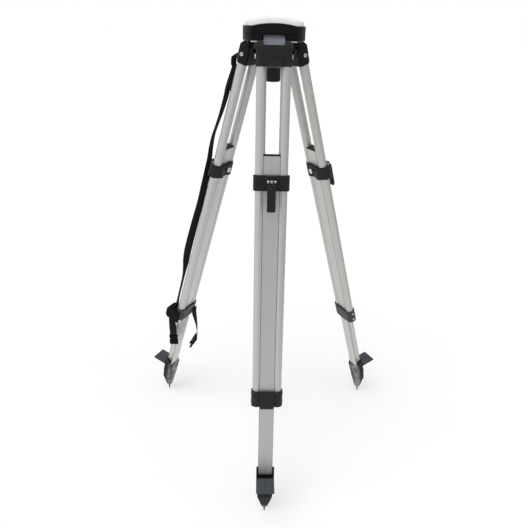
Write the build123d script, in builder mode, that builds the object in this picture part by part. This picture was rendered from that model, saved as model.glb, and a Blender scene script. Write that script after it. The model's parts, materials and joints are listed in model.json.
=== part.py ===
from build123d import *
import os
from dataclasses import dataclass
from math import cos, hypot, pi, radians, sin, sqrt, tan

# A dome head tripod for surveying instruments, standing with its legs spread.
# Millimetres, +Z up. The origin is the plumb point: the spot on the ground under the head's axis.
# The front leg points along -Y, the left and right legs stand 120 degrees to either side of it.
#
# On a leg, s runs down the leg from the hinge pin, u stands outwards from the plane of the two
# tubes, and v runs across the leg. On the sliding half, t runs down from the top of the inner leg.

# Stance
FRONT_SPLAY = 11.8          # degrees between the front leg and the plumb line
REAR_SPLAY = 17.5           # degrees between a rear leg and the plumb line
FRONT_INNER_TOP = 199.0     # s of the front inner leg's top
LEG_SPACING = 120.0         # degrees between legs around the head

# Fits
RUNNING = 0.05              # radial play of a pin in its bore
SEAT = 0.1                  # play between fixed pieces that sit in each other
SLIDING = 0.35              # play of the sliding half against the tubes

# Head
HEAD_RADIUS = 69.0
HEAD_FLAT = 49.4            # distance from the axis to the flats over the legs
LUG_RING_HEIGHT = 13.0
LUG_RING_OPENING = 34.0     # radius
RIM_HEIGHT = 14.0           # at the round sides
RIM_WALL = 4.0
RIM_SHELF = 9.0
HEAD_GROOVE = 1.0           # chamfers that form the line between ring and rim
DOME_RADIUS = 225.0
DOME_THICKNESS = 6.0
DOME_EDGE = 12.0            # depth of the plate's edge, which sits in the rim
DOME_PROUD = 7.5            # height of that edge above the rim
DOME_HOLE = 18.0            # radius
NOTCH_WIDTH = 52.0
NOTCH_BACK = 40.0           # distance from the axis to the back of a lug's notch
POCKET_DEPTH = 9.0
POCKET_INNER = 43.0
POCKET_OUTER = 60.0
POCKET_ANGLE = 40.0         # degrees

# Hinge
HINGE_REACH = 58.0          # distance of the hinge pins from the axis
HINGE_DROP = 29.0           # hinge pins below the lug ring
LUG_WIDTH = 45.0
LUG_END = 9.0               # radius round the pin
LUG_OUTER_LEAN = 35.0       # widest splay: the block's front wall meets this face
LUG_INNER_LEAN = 27.0
LUG_PLAY = 0.5              # sideways, each side
LUG_SWING = 0.8             # gap round the lug's end
BOLT_RADIUS = 4.0
BOLT_HEAD_RADIUS = 4.9
BOLT_HEAD_HEIGHT = 2.4
BOLT_HEAD_TAPER = 20.0      # degrees
BOLT_SOCKET_RADIUS = 2.5    # across the corners of the hexagon
BOLT_SOCKET_DEPTH = 2.0

# Hinge block
BLOCK_WIDTH = 76.0
BLOCK_ABOVE = 20.5
BLOCK_BELOW = 20.7
BLOCK_FRONT = 13.0
BLOCK_BACK = 16.0
BLOCK_FRONT_BEVEL = 6.5
BLOCK_BACK_BEVEL = 4.0
BLOCK_EDGE = 1.5
EAR_RADIUS = 28.0           # rounded tops of the ears, about the pin
EAR_CREST = 4.0             # u where an ear's front slope meets its rounded top
EAR_FOOT = 11.5             # u where that slope starts
EAR_INSET = 2.0             # from the block's sides
SOCKET_DEPTH = 9.0
SPIGOT_LENGTH = 30.0
BRIDGE_WIDTH = 35.0
BRIDGE_HEIGHT = 11.0
BRIDGE_BAR = 3.0
BRIDGE_GAP = 7.0
BRIDGE_POST = 2.0

# Upper tubes and lower bracket
TUBE_RADIUS = 11.0
TUBE_WALL = 1.5
TUBE_SPACING = 52.0
BRACKET_TOP = 788.0
BRACKET_HEIGHT = 42.0
BRACKET_WALL = 4.0
BRACKET_END = 40.2          # half the width across the flat ends
PANEL_WIDTH = 38.0
PANEL_TOP_WIDTH = 33.0
PANEL_PROUD = 2.5
PANEL_DROP = 6.0
PANEL_TAPER = 20.0          # degrees
BRACKET_SCREW_RADIUS = 3.2
BRACKET_SCREW_HEAD = 1.6
BRACKET_SHANK = 1.8
BRACKET_SCREW_INSET = 10.0

# Inner leg and its cap
INNER_WIDTH = 39.0
INNER_DEPTH = 18.0
INNER_WALL = 2.0
CAP_THICKNESS = 4.0
CAP_PLUG = 12.0

# Clamp, measured on the sliding half
CLAMP_TOP = 45.0
CLAMP_HEIGHT = 35.0
CLAMP_WIDTH = 82.0
CLAMP_FRONT = 15.5
CLAMP_BACK = 18.5
JAW_GAP = 0.8
JAW_BEVEL_WIDTH = 20.0      # slanted inner corners, across the leg
JAW_BEVEL_DEPTH = 13.5
JAW_CORNER = 8.0
JAW_EDGE = 2.5              # rounded rim of the outer jaw
JAW_CHAMFER = 1.2           # rim of the inner jaw
BOSS_CORNER = 4.0
BOSS_WIDTH = 28.0
BOSS_HEIGHT = 22.0
BOSS_FRONT = 21.0
NUT_POCKET_WIDTH = 26.0
NUT_POCKET_DEPTH = 5.0
NUT_RAIL = 6.0
NUT_RADIUS = 7.0
NUT_THICKNESS = 9.5
CLAMP_BOLT_RADIUS = 2.4
CLAMP_BOLT_END = 0.9        # the bolt stands this far out of the lever pin

# Lever
LEVER_PIN_DROP = 13.0       # below the clamp's top
LEVER_PIN_OUT = 27.8
LEVER_PIN_RADIUS = 3.5
LEVER_PIN_LENGTH = 19.6
LEVER_WIDTH = 19.0
LEVER_LENGTH = 66.0
LEVER_START = 6.0
LEVER_INNER = 2.2           # arm's inner face beyond the pin's axis
LEVER_THICKNESS = 9.0
LEVER_END_CORNER = 4.0
LEVER_EDGE = 1.2
LEVER_TINE_INNER = 2.9
LEVER_TINE_OUTER = 5.9
LEVER_CAM_RADIUS = 5.7
LEVER_CAM_OFFSET = 0.8

# Shoe and spike, measured on the sliding half
SHOE_TOP = 819.0            # t of the ears' tops, which the drops below start from
SHOE_FRONT_DROP = 22.0
SHOE_BACK_DROP = 31.0
SHOE_DEPTH = 53.0           # height of the socket part
SHOE_WIDTH = 48.0
SHOE_FRONT = 13.0
SHOE_BACK = 14.0
SHOE_CORNER = 3.0
SHOE_SOCKET = 43.0          # how deep the inner leg stands in the shoe
STEP_DROP = 28.0
STEP_REACH = 63.0
STEP_THICKNESS = 4.0
STEP_FALL = 6.5             # the plate's outer edge lies lower along the leg
STEP_CORNER = 2.5
STEP_RIB_WIDTH = 8.0
STEP_RIB_HEIGHT = 24.0
STEP_GROOVE_WIDTH = 1.8     # line down the middle of the plate
STEP_GROOVE_DEPTH = 1.4
STEP_GROOVE_SHARE = 0.75    # of the plate's length
CALF_DROP = 98.0
CALF_WIDTH = 40.0
CALF_DEPTH = 25.0
CALF_U = -2.5               # the taper's middle station bulges outwards
NOSE_DROP = 143.0
NOSE_WIDTH = 15.0
NOSE_DEPTH = 13.0
SPIKE_DROP = 165.3          # to the centre of the spike's round end
TIP_INSET = 15.7            # the spike's end lies inwards of the tubes' plane
TIP_RADIUS = 1.5
SPIKE_RADIUS = 4.2
SPIKE_SHANK = 3.0
SPIKE_SHANK_LENGTH = 14.0

# Fixing screw
SCREW_RADIUS = 7.94
SCREW_TIP_DROP = 3.0        # tip below the top of the dome, at rest
SCREW_LIFT = 14.0
SCREW_CHAMFER = 1.5
THREAD_LENGTH = 15.5        # from the tip, chamfer included
THREAD_GROOVE = 1.5         # run-out groove under the thread
THREAD_GROOVE_DEPTH = 0.9
COLLAR_RADIUS = 19.0
COLLAR_HEIGHT = 4.0
COLLAR_GAP = 1.6            # over the retainer plate
THRUST_RADIUS = 13.0
THRUST_THICKNESS = 2.0
SLIDE_GAP = 0.4
SLIDE_RADIUS = 30.0
SLIDE_THICKNESS = 3.2
SCREW_SWING = 1.6           # degrees each way
BUSH_NECK = 11.0
BUSH_RELIEF = 9.4           # radius of the wider bore round the thread
BUSH_FLANGE = 24.0
BUSH_FLANGE_THICKNESS = 4.0
BUSH_TUBE = 12.5
RETAINER_RADIUS = 56.0      # at its three corners
RETAINER_FLAT = 30.0
RETAINER_THICKNESS = 3.5
RETAINER_HOLE = 15.5
RETAINER_SCREW_CIRCLE = 38.0
RETAINER_SCREW_RADIUS = 1.5
RETAINER_SCREW_HEAD = 2.6
RETAINER_SCREW_DEPTH = 8.0
KNOB_RADIUS = 17.2
KNOB_BOTTOM_DROP = 84.0     # below the lug ring
KNOB_LENGTH = 42.0
KNOB_GROOVES = 12
KNOB_GROOVE_RADIUS = 2.0

# Straps on the left leg
STRAP_WIDTH = 22.0
STRAP_THICKNESS = 2.0
LOOP_TOP = 6.1              # the sewn loop round the block's bridge, in u and s
LOOP_INNER = 14.3
LOOP_SHOULDER = 25.5
LOOP_REACH = 41.0
LOOP_MIDDLE = 21.0
LOOP_NECK_INNER = 29.0
LOOP_NECK_OUTER = 34.0
LOOP_CORNER = 3.4
SEWN_TOP = 47.0             # the strap is doubled from here to its sewn end
SEWN_END = 92.0
STRAP_CLEAR = 3.5           # least gap between the slack strap and the clamp
WAVE_RISE = 7.4             # how far the slack stands off in its two waves
WAVE_MIDDLE = 360.0         # s where the upper wave ends and the lower one starts
WAVE_END = 676.0
WAVE_STEPS = 6
ANCHOR_INNER = 14.0
ANCHOR_OUTER = 44.6
ANCHOR_START = -7.0         # reaches over the screws in the bracket's end
ANCHOR_REACH = 42.0
ANCHOR_DROP = 9.0           # below the bracket's top
ANCHOR_HEIGHT = 44.0
ANCHOR_CORNER = 12.0
CLOSING_WIDTH = 22.0
CLOSING_THICKNESS = 1.8
CLOSING_LENGTH = 72.0
CLOSING_OUT = 22.0          # u and v where it leaves the anchor
CLOSING_SIDE = 35.5
CLOSING_TWIST = 40.0        # degrees that it turns on its way down to the buckle
CLOSING_STEPS = 4
BUCKLE_WIDTH = 27.0
BUCKLE_DEPTH = 10.0
BUCKLE_WALL = 2.0
SOCKET_LENGTH = 34.0
SOCKET_SHOULDER = 8.0
SOCKET_WAIST = 19.0         # width between the shoulder and the body
SOCKET_WAIST_LENGTH = 4.0
SOCKET_SLANT = 3.0
SOCKET_MOUTH = 16.0
WINDOW_TOP = 22.0           # side windows, below the top of the socket
WINDOW_HEIGHT = 7.0
PRONG_LENGTH = 20.0
PRONG_BASE = 24.0
PRONG_HANG = (-0.52, 0, -0.85)      # direction of the prong, which hangs askew on its strap
TAIL_SIDE = -26.0
TAIL_START = 20.0           # below the bracket's top
TAIL_BEND = 5.0             # gap behind the bracket at its lower edge
TAIL_DROP = 91.0
TAIL_AWAY = 52.0            # distance of its lower end behind the plane of the tubes
TAIL_TURN = 38.0            # degrees
TAIL_STEPS = 4

# Worked out from the sizes above
SHOE_FRONT_TOP = SHOE_TOP + SHOE_FRONT_DROP
SHOE_BACK_TOP = SHOE_TOP + SHOE_BACK_DROP
SHOE_BOTTOM = SHOE_TOP + SHOE_DEPTH
SOCKET_END = SHOE_TOP + SHOE_SOCKET
STEP_T = SHOE_TOP + STEP_DROP
CALF_T = SHOE_TOP + CALF_DROP
NOSE_T = SHOE_TOP + NOSE_DROP
TIP_DROP = SHOE_TOP + SPIKE_DROP
FRONT_TIP = FRONT_INNER_TOP + TIP_DROP
PIN_HEIGHT = (FRONT_TIP * cos(radians(FRONT_SPLAY)) + TIP_INSET * sin(radians(FRONT_SPLAY))
              + TIP_RADIUS)
RING_BOTTOM = PIN_HEIGHT + HINGE_DROP
RIM_BOTTOM = RING_BOTTOM + LUG_RING_HEIGHT
RIM_CROWN = DOME_RADIUS - DOME_PROUD            # radius of the rim's top, about the dome's centre
DOME_CENTRE = RIM_BOTTOM + RIM_HEIGHT - sqrt(RIM_CROWN**2 - HEAD_RADIUS**2)
DOME_TOP = DOME_CENTRE + DOME_RADIUS
SLOT_RADIUS = LUG_END + LUG_SWING
SOCKET_TOP = BLOCK_BELOW - SOCKET_DEPTH
TUBE_V = TUBE_SPACING / 2
TUBE_PLACES = [(-TUBE_V, 0), (TUBE_V, 0)]
BRACKET_BOTTOM = BRACKET_TOP + BRACKET_HEIGHT
ANCHOR_TOP = BRACKET_TOP + ANCHOR_DROP
BRACKET_RADIUS = TUBE_RADIUS + BRACKET_WALL
GROOVE_RADIUS = TUBE_RADIUS + SLIDING
LEVER_PIN_T = CLAMP_TOP + LEVER_PIN_DROP
RETAINER_BOTTOM = RING_BOTTOM - RETAINER_THICKNESS
COLLAR_BOTTOM = RING_BOTTOM + COLLAR_GAP
THRUST_BOTTOM = COLLAR_BOTTOM + COLLAR_HEIGHT
BUSH_BOTTOM = THRUST_BOTTOM + THRUST_THICKNESS + SCREW_LIFT
KNOB_BOTTOM = RING_BOTTOM - KNOB_BOTTOM_DROP
THREAD_BOTTOM = DOME_TOP - SCREW_TIP_DROP - THREAD_LENGTH
SLIDE_OUTSIDE = DOME_RADIUS - DOME_THICKNESS - SLIDE_GAP
SLIDE_INSIDE = SLIDE_OUTSIDE - SLIDE_THICKNESS
SWING_TRAVEL = SLIDE_OUTSIDE * sin(radians(SCREW_SWING))
SLACK_U = CLAMP_FRONT + STRAP_CLEAR + STRAP_THICKNESS / 2


@dataclass
class Leg:
    """One leg's place: its name, its direction round the head and its splay, in degrees."""

    name: str
    azimuth: float
    splay: float

    def __post_init__(self):
        turn = radians(self.azimuth)
        lean = radians(self.splay)
        out = Vector(sin(turn), -cos(turn), 0)
        self.side = Vector(cos(turn), sin(turn), 0)
        self.down = out * sin(lean) - Vector(0, 0, cos(lean))
        self.face = out * cos(lean) + Vector(0, 0, sin(lean))
        self.pin = out * HINGE_REACH + Vector(0, 0, PIN_HEIGHT)
        tip = (PIN_HEIGHT - TIP_RADIUS - TIP_INSET * sin(lean)) / cos(lean)
        self.inner_top = tip - TIP_DROP

    def point(self, s, u=0.0, v=0.0):
        return self.pin + self.down * s + self.face * u + self.side * v

    def across(self, s):
        """Plane square to the leg: x is v, y is u, and it faces down the leg."""
        return Plane(self.point(s), x_dir=self.side, z_dir=self.down)

    def facing(self, u, s=0.0):
        """Plane along the leg: x is v, y runs up the leg, and it faces outwards."""
        return Plane(self.point(s, u), x_dir=self.side, z_dir=self.face)

    def endways(self, v, s=0.0):
        """Plane on the leg's edge: x is u, y is s, and it faces along v."""
        return Plane(self.point(s, 0, v), x_dir=self.face, z_dir=self.side)

    def axis(self):
        return Axis(self.pin, self.down)


FRONT = Leg("front", 0, FRONT_SPLAY)
LEFT = Leg("left", -LEG_SPACING, REAR_SPLAY)
RIGHT = Leg("right", LEG_SPACING, REAR_SPLAY)
LEGS = [FRONT, LEFT, RIGHT]
FRONT_ANGLE = -90                               # the front leg's direction in plan, for patterns
BETWEEN_LEGS = FRONT_ANGLE + LEG_SPACING / 2

os.makedirs("parts", exist_ok=True)


def save(builder, name):
    builder.part.label = name
    export_step(builder.part, f"parts/{name}.step")


def head_outline(radius, flat):
    """Round outline with three flats, one over each leg."""
    with BuildSketch(mode=Mode.PRIVATE) as outline:
        Circle(radius)
        RegularPolygon(flat, len(LEGS), major_radius=False, rotation=-FRONT_ANGLE, mode=Mode.INTERSECT)
    add(outline.sketch)


def inner_leg_section(play=0.0):
    """Flat bar with a hollow along each side that lies round a tube."""
    Rectangle(INNER_WIDTH + 2 * play, INNER_DEPTH + 2 * play)
    with Locations(*TUBE_PLACES):
        Circle(GROOVE_RADIUS - play, mode=Mode.SUBTRACT)


# Head

def dome_plate():
    """Pale spherical plate that the instrument's foot slides on."""
    with BuildPart() as dome:
        with BuildSketch(Plane.XY.offset(RIM_BOTTOM)):
            head_outline(HEAD_RADIUS - RIM_WALL - SEAT, HEAD_FLAT - RIM_WALL - SEAT)
            Circle(DOME_HOLE, mode=Mode.SUBTRACT)
        extrude(amount=DOME_TOP - RIM_BOTTOM)
        with Locations((0, 0, DOME_CENTRE)):
            Sphere(DOME_RADIUS, mode=Mode.INTERSECT)
            Sphere(DOME_RADIUS - DOME_EDGE, mode=Mode.SUBTRACT)
            underside = Sphere(DOME_RADIUS - DOME_THICKNESS, mode=Mode.PRIVATE)
        with BuildSketch(Plane.XY.offset(RIM_BOTTOM)):
            head_outline(HEAD_RADIUS - RIM_SHELF, HEAD_FLAT - RIM_SHELF)
        hollow = extrude(amount=DOME_TOP - RIM_BOTTOM, mode=Mode.PRIVATE)
        add(hollow & underside, mode=Mode.SUBTRACT)
    save(dome, "dome_plate")


def head_rim():
    """Black skirt round the dome plate, with a shelf that carries the plate."""
    with BuildPart() as rim:
        with BuildSketch(Plane.XY.offset(RIM_BOTTOM)):
            head_outline(HEAD_RADIUS, HEAD_FLAT)
        extrude(amount=DOME_TOP - RIM_BOTTOM)
        chamfer(rim.faces().sort_by(Axis.Z)[0].edges(), HEAD_GROOVE)
        with Locations((0, 0, DOME_CENTRE)):
            Sphere(RIM_CROWN, mode=Mode.INTERSECT)
        with BuildSketch(Plane.XY.offset(RIM_BOTTOM)):
            head_outline(HEAD_RADIUS - RIM_SHELF, HEAD_FLAT - RIM_SHELF)
        extrude(amount=DOME_TOP - RIM_BOTTOM, mode=Mode.SUBTRACT)
        with BuildSketch(Plane.XY.offset(RIM_BOTTOM)):
            head_outline(HEAD_RADIUS - RIM_WALL, HEAD_FLAT - RIM_WALL)
        recess = extrude(amount=DOME_TOP - RIM_BOTTOM, mode=Mode.PRIVATE)
        with Locations((0, 0, DOME_CENTRE)):
            core = Sphere(DOME_RADIUS - DOME_EDGE - SEAT, mode=Mode.PRIVATE)
        add(recess - core, mode=Mode.SUBTRACT)
    save(rim, "head_rim")


def lug_profile():
    """Side view of a hinge lug: a round end on the pin and two sides that lean in to the ring."""
    outer = radians(LUG_OUTER_LEAN)
    inner = radians(LUG_INNER_LEAN)
    pin = Vector(HINGE_REACH, PIN_HEIGHT)
    outer_foot = pin + Vector(cos(outer), sin(outer)) * LUG_END
    inner_foot = pin - Vector(cos(inner), sin(inner)) * LUG_END
    top = RIM_BOTTOM
    outer_top = Vector(outer_foot.X - (top - outer_foot.Y) * tan(outer), top)
    inner_top = Vector(inner_foot.X - (RING_BOTTOM - inner_foot.Y) * tan(inner), RING_BOTTOM)
    with BuildLine() as side:
        Line(outer_top, outer_foot)
        ThreePointArc(outer_foot, pin + Vector(sin(inner), -cos(inner)) * LUG_END, inner_foot)
        Polyline(inner_foot, inner_top, (inner_top.X, top), outer_top)
    make_face(side.edges())


def retainer_screw_places():
    return PolarLocations(RETAINER_SCREW_CIRCLE, len(LEGS), start_angle=BETWEEN_LEGS)


def lug_ring():
    """Black lower ring: the hinge lugs stand in notches under the flats."""
    with BuildPart() as ring:
        with BuildSketch(Plane.XY.offset(RING_BOTTOM)):
            head_outline(HEAD_RADIUS, HEAD_FLAT)
        extrude(amount=LUG_RING_HEIGHT)
        chamfer(ring.faces().sort_by(Axis.Z)[-1].edges(), HEAD_GROOVE)
        with BuildSketch(Plane.XY.offset(RING_BOTTOM)):
            Circle(LUG_RING_OPENING)
        extrude(amount=LUG_RING_HEIGHT, mode=Mode.SUBTRACT)
        with BuildSketch(Plane.XY.offset(RING_BOTTOM)):
            with PolarLocations(0, len(LEGS), start_angle=FRONT_ANGLE):
                with Locations(((NOTCH_BACK + HEAD_RADIUS) / 2, 0)):
                    Rectangle(HEAD_RADIUS - NOTCH_BACK, NOTCH_WIDTH)
        extrude(amount=LUG_RING_HEIGHT, mode=Mode.SUBTRACT)
        with BuildSketch(Plane.XY.offset(RING_BOTTOM)):
            with PolarLocations(0, len(LEGS), start_angle=BETWEEN_LEGS):
                with BuildLine():
                    CenterArc((0, 0), POCKET_OUTER, -POCKET_ANGLE / 2, POCKET_ANGLE)
                    CenterArc((0, 0), POCKET_INNER, -POCKET_ANGLE / 2, POCKET_ANGLE)
                make_hull()
            Circle(POCKET_INNER, mode=Mode.SUBTRACT)
        extrude(amount=POCKET_DEPTH, mode=Mode.SUBTRACT)
        for leg in LEGS:
            turn = radians(leg.azimuth)
            out = Vector(sin(turn), -cos(turn), 0)
            with BuildSketch(Plane((0, 0, 0), x_dir=out, z_dir=-leg.side)):
                lug_profile()
            extrude(amount=LUG_WIDTH / 2, both=True)
            with BuildSketch(Plane(leg.pin, x_dir=out, z_dir=-leg.side)):
                Circle(BOLT_RADIUS + RUNNING)
            extrude(amount=LUG_WIDTH, both=True, mode=Mode.SUBTRACT)
        with BuildSketch(Plane.XY.offset(RING_BOTTOM)):
            with retainer_screw_places():
                Circle(RETAINER_SCREW_RADIUS + SEAT)
        extrude(amount=RETAINER_SCREW_DEPTH, mode=Mode.SUBTRACT)
    save(ring, "lug_ring")


def retainer():
    """Plate under the ring that keeps the fixing screw in the head, and its three screws."""
    with BuildPart() as plate:
        with BuildSketch(Plane.XY.offset(RETAINER_BOTTOM)):
            head_outline(RETAINER_RADIUS, RETAINER_FLAT)
            Circle(RETAINER_HOLE, mode=Mode.SUBTRACT)
            with retainer_screw_places():
                Circle(RETAINER_SCREW_RADIUS + SEAT, mode=Mode.SUBTRACT)
        extrude(amount=RETAINER_THICKNESS)
    save(plate, "retainer_plate")
    with BuildPart() as screws:
        with BuildSketch(Plane.XY.offset(RETAINER_BOTTOM)):
            with retainer_screw_places():
                Circle(RETAINER_SCREW_HEAD)
        extrude(amount=-RETAINER_SCREW_RADIUS)
        with BuildSketch(Plane.XY.offset(RETAINER_BOTTOM)):
            with retainer_screw_places():
                Circle(RETAINER_SCREW_RADIUS)
        extrude(amount=RETAINER_THICKNESS + RETAINER_SCREW_DEPTH - SEAT)
    save(screws, "retainer_screws")


# Fixing screw

def slide_washer():
    """Spherical washer under the dome, slotted along X for the guide bush."""
    with BuildPart() as washer:
        with BuildSketch(Plane.XY.offset(RIM_BOTTOM)):
            Circle(SLIDE_RADIUS)
            SlotCenterToCenter(2 * SWING_TRAVEL, 2 * (BUSH_NECK + SEAT), mode=Mode.SUBTRACT)
        extrude(amount=DOME_TOP - RIM_BOTTOM)
        with Locations((0, 0, DOME_CENTRE)):
            Sphere(SLIDE_OUTSIDE, mode=Mode.INTERSECT)
            Sphere(SLIDE_INSIDE, mode=Mode.SUBTRACT)
    save(washer, "slide_washer")


def guide_bush():
    """Bush that carries the screw, with a domed flange under the slide washer."""
    with BuildPart() as bush:
        with BuildSketch(Plane.XY.offset(BUSH_BOTTOM)):
            Circle(BUSH_FLANGE)
        extrude(amount=DOME_TOP - BUSH_BOTTOM)
        with Locations((0, 0, DOME_CENTRE)):
            Sphere(SLIDE_INSIDE - SLIDE_GAP, mode=Mode.INTERSECT)
            Sphere(SLIDE_INSIDE - SLIDE_GAP - BUSH_FLANGE_THICKNESS, mode=Mode.SUBTRACT)
        with BuildSketch(Plane.XY.offset(BUSH_BOTTOM)):
            Circle(BUSH_TUBE)
        extrude(amount=DOME_CENTRE + SLIDE_INSIDE - BUSH_FLANGE_THICKNESS - BUSH_BOTTOM)
        with BuildSketch(Plane.XY.offset(BUSH_BOTTOM)):
            Circle(BUSH_NECK)
        extrude(amount=DOME_CENTRE + SLIDE_OUTSIDE - SLIDE_THICKNESS / 2 - BUSH_BOTTOM)
        with BuildSketch(Plane.XY.offset(BUSH_BOTTOM)):
            Circle(SCREW_RADIUS + RUNNING)
        extrude(amount=DOME_TOP - BUSH_BOTTOM, mode=Mode.SUBTRACT)
        with BuildSketch(Plane.XY.offset(THREAD_BOTTOM - THREAD_GROOVE)):
            Circle(BUSH_RELIEF)
        extrude(amount=DOME_TOP - THREAD_BOTTOM, mode=Mode.SUBTRACT)
    save(bush, "guide_bush")


def thrust_washer():
    """Washer between the screw's collar and the guide bush."""
    with BuildPart() as washer:
        with BuildSketch(Plane.XY.offset(THRUST_BOTTOM)):
            Circle(THRUST_RADIUS)
            Circle(SCREW_RADIUS + RUNNING, mode=Mode.SUBTRACT)
        extrude(amount=THRUST_THICKNESS)
    save(washer, "thrust_washer")


def fixing_screw():
    """Instrument screw with a collar that the retainer plate holds back."""
    with BuildPart() as screw:
        with BuildSketch(Plane.XY.offset(KNOB_BOTTOM + KNOB_LENGTH / 2)):
            Circle(SCREW_RADIUS)
        extrude(amount=DOME_TOP - SCREW_TIP_DROP - KNOB_BOTTOM - KNOB_LENGTH / 2)
        chamfer(screw.faces().sort_by(Axis.Z)[-1].edges(), SCREW_CHAMFER)
        with BuildSketch(Plane.XY.offset(COLLAR_BOTTOM)):
            Circle(COLLAR_RADIUS)
        extrude(amount=COLLAR_HEIGHT)
        with BuildSketch(Plane.XY.offset(THREAD_BOTTOM)):
            Circle(COLLAR_RADIUS)
            Circle(SCREW_RADIUS - THREAD_GROOVE_DEPTH, mode=Mode.SUBTRACT)
        extrude(amount=-THREAD_GROOVE, mode=Mode.SUBTRACT)
    save(screw, "fixing_screw")


def screw_knob():
    """Long black knob with finger grooves, on the lower end of the screw."""
    with BuildPart() as knob:
        with BuildSketch(Plane.XY.offset(KNOB_BOTTOM)):
            Circle(KNOB_RADIUS)
        extrude(amount=KNOB_LENGTH)
        chamfer(knob.faces().sort_by(Axis.Z)[0].edges(), KNOB_GROOVE_RADIUS)
        chamfer(knob.faces().sort_by(Axis.Z)[-1].edges(), KNOB_GROOVE_RADIUS)
        with BuildSketch(Plane.XY.offset(KNOB_BOTTOM)):
            with PolarLocations(KNOB_RADIUS + KNOB_GROOVE_RADIUS / 2, KNOB_GROOVES):
                Circle(KNOB_GROOVE_RADIUS)
        extrude(amount=KNOB_LENGTH, mode=Mode.SUBTRACT)
        with BuildSketch(Plane.XY.offset(KNOB_BOTTOM + KNOB_LENGTH / 2)):
            Circle(SCREW_RADIUS + SEAT)
        extrude(amount=KNOB_LENGTH, mode=Mode.SUBTRACT)
    save(knob, "screw_knob")


# Upper half of a leg

def lug_slot():
    """Side view of the slot for a lug, in u and s: its walls stop the leg at both ends of its swing."""
    lean = radians(LUG_INNER_LEAN)
    foot = Vector(-cos(lean), sin(lean)) * SLOT_RADIUS
    above = EAR_RADIUS + BLOCK_EDGE
    behind = Vector(foot.X - (foot.Y + above) * tan(lean), -above)
    with BuildLine() as side:
        Line((SLOT_RADIUS, -above), (SLOT_RADIUS, 0))
        ThreePointArc((SLOT_RADIUS, 0), (0, SLOT_RADIUS), foot)
        Polyline(foot, behind, (SLOT_RADIUS, -above))
    make_face(side.edges())


def block_ear():
    """Side view of the block's ears, in u and s: a slope at the front and a top rounded about the pin."""
    back = BLOCK_BACK - BLOCK_BACK_BEVEL
    crest = (EAR_CREST, -sqrt(EAR_RADIUS**2 - EAR_CREST**2))
    heel = (-back, -sqrt(EAR_RADIUS**2 - back**2))
    with BuildLine() as side:
        ThreePointArc(heel, (0, -EAR_RADIUS), crest)
        Polyline(crest, (EAR_FOOT, -BLOCK_ABOVE + BLOCK_EDGE), (EAR_FOOT, 0), (-back, 0), heel)
    make_face(side.edges())


def hinge_block(leg):
    """Black block at the top of a leg: ears on the hinge bolt, spigots in the tubes, a strap bridge."""
    with BuildPart() as block:
        with BuildSketch(leg.across(-BLOCK_ABOVE)) as outline:
            with Locations((0, (BLOCK_FRONT - BLOCK_BACK) / 2)):
                Rectangle(BLOCK_WIDTH, BLOCK_FRONT + BLOCK_BACK)
            corners = outline.vertices().group_by(Axis.Y)
            chamfer(corners[-1], BLOCK_FRONT_BEVEL)
            chamfer(corners[0], BLOCK_BACK_BEVEL)
        extrude(amount=BLOCK_ABOVE + BLOCK_BELOW)
        ends = block.faces().sort_by(leg.axis())
        chamfer(ends[0].edges() + ends[-1].edges(), BLOCK_EDGE)
        ear_half = BLOCK_WIDTH / 2 - EAR_INSET
        with BuildSketch(leg.endways(-ear_half)):
            block_ear()
        extrude(amount=2 * ear_half)
        slot_half = LUG_WIDTH / 2 + LUG_PLAY
        with BuildSketch(leg.endways(-slot_half)):
            lug_slot()
        extrude(amount=2 * slot_half, mode=Mode.SUBTRACT)
        with BuildSketch(leg.endways(0)):
            Circle(BOLT_RADIUS + SEAT)
        extrude(amount=BLOCK_WIDTH, both=True, mode=Mode.SUBTRACT)
        with BuildSketch(leg.across(SOCKET_TOP)):
            with Locations(*TUBE_PLACES):
                Circle(TUBE_RADIUS + SEAT)
        extrude(amount=SOCKET_DEPTH, mode=Mode.SUBTRACT)
        with BuildSketch(leg.across(SOCKET_TOP)):
            with Locations(*TUBE_PLACES):
                Circle(TUBE_RADIUS - TUBE_WALL - SEAT)
        extrude(amount=SPIGOT_LENGTH)
        bridge_middle = BLOCK_BELOW - BLOCK_EDGE - BRIDGE_HEIGHT / 2
        with BuildSketch(leg.facing(BLOCK_FRONT, bridge_middle)):
            Rectangle(BRIDGE_WIDTH, BRIDGE_HEIGHT)
        extrude(amount=BRIDGE_GAP + BRIDGE_BAR)
        with BuildSketch(leg.facing(BLOCK_FRONT, bridge_middle)):
            Rectangle(BRIDGE_WIDTH - 2 * BRIDGE_POST, BRIDGE_HEIGHT)
        extrude(amount=BRIDGE_GAP, mode=Mode.SUBTRACT)
    save(block, f"hinge_block_{leg.name}")


def hinge_bolt(leg):
    """Hinge bolt with a round head at each end, driven by a hexagon socket."""
    with BuildPart() as bolt:
        with BuildSketch(leg.endways(0)):
            Circle(BOLT_RADIUS)
        extrude(amount=BLOCK_WIDTH / 2, both=True)
        for end in (-1, 1):
            face = Plane(leg.point(0, 0, end * BLOCK_WIDTH / 2), x_dir=leg.face, z_dir=leg.side * end)
            with BuildSketch(face):
                Circle(BOLT_HEAD_RADIUS)
            extrude(amount=BOLT_HEAD_HEIGHT, taper=BOLT_HEAD_TAPER)
            with BuildSketch(face.offset(BOLT_HEAD_HEIGHT)):
                RegularPolygon(BOLT_SOCKET_RADIUS, 6)
            extrude(amount=-BOLT_SOCKET_DEPTH, mode=Mode.SUBTRACT)
    save(bolt, f"hinge_bolt_{leg.name}")


def upper_tubes(leg):
    """The two tubes of the leg's upper half."""
    with BuildPart() as tubes:
        with BuildSketch(leg.across(SOCKET_TOP)):
            with Locations(*TUBE_PLACES):
                Circle(TUBE_RADIUS)
                Circle(TUBE_RADIUS - TUBE_WALL, mode=Mode.SUBTRACT)
        extrude(amount=BRACKET_BOTTOM - SOCKET_TOP)
    save(tubes, f"upper_tubes_{leg.name}")


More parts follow.
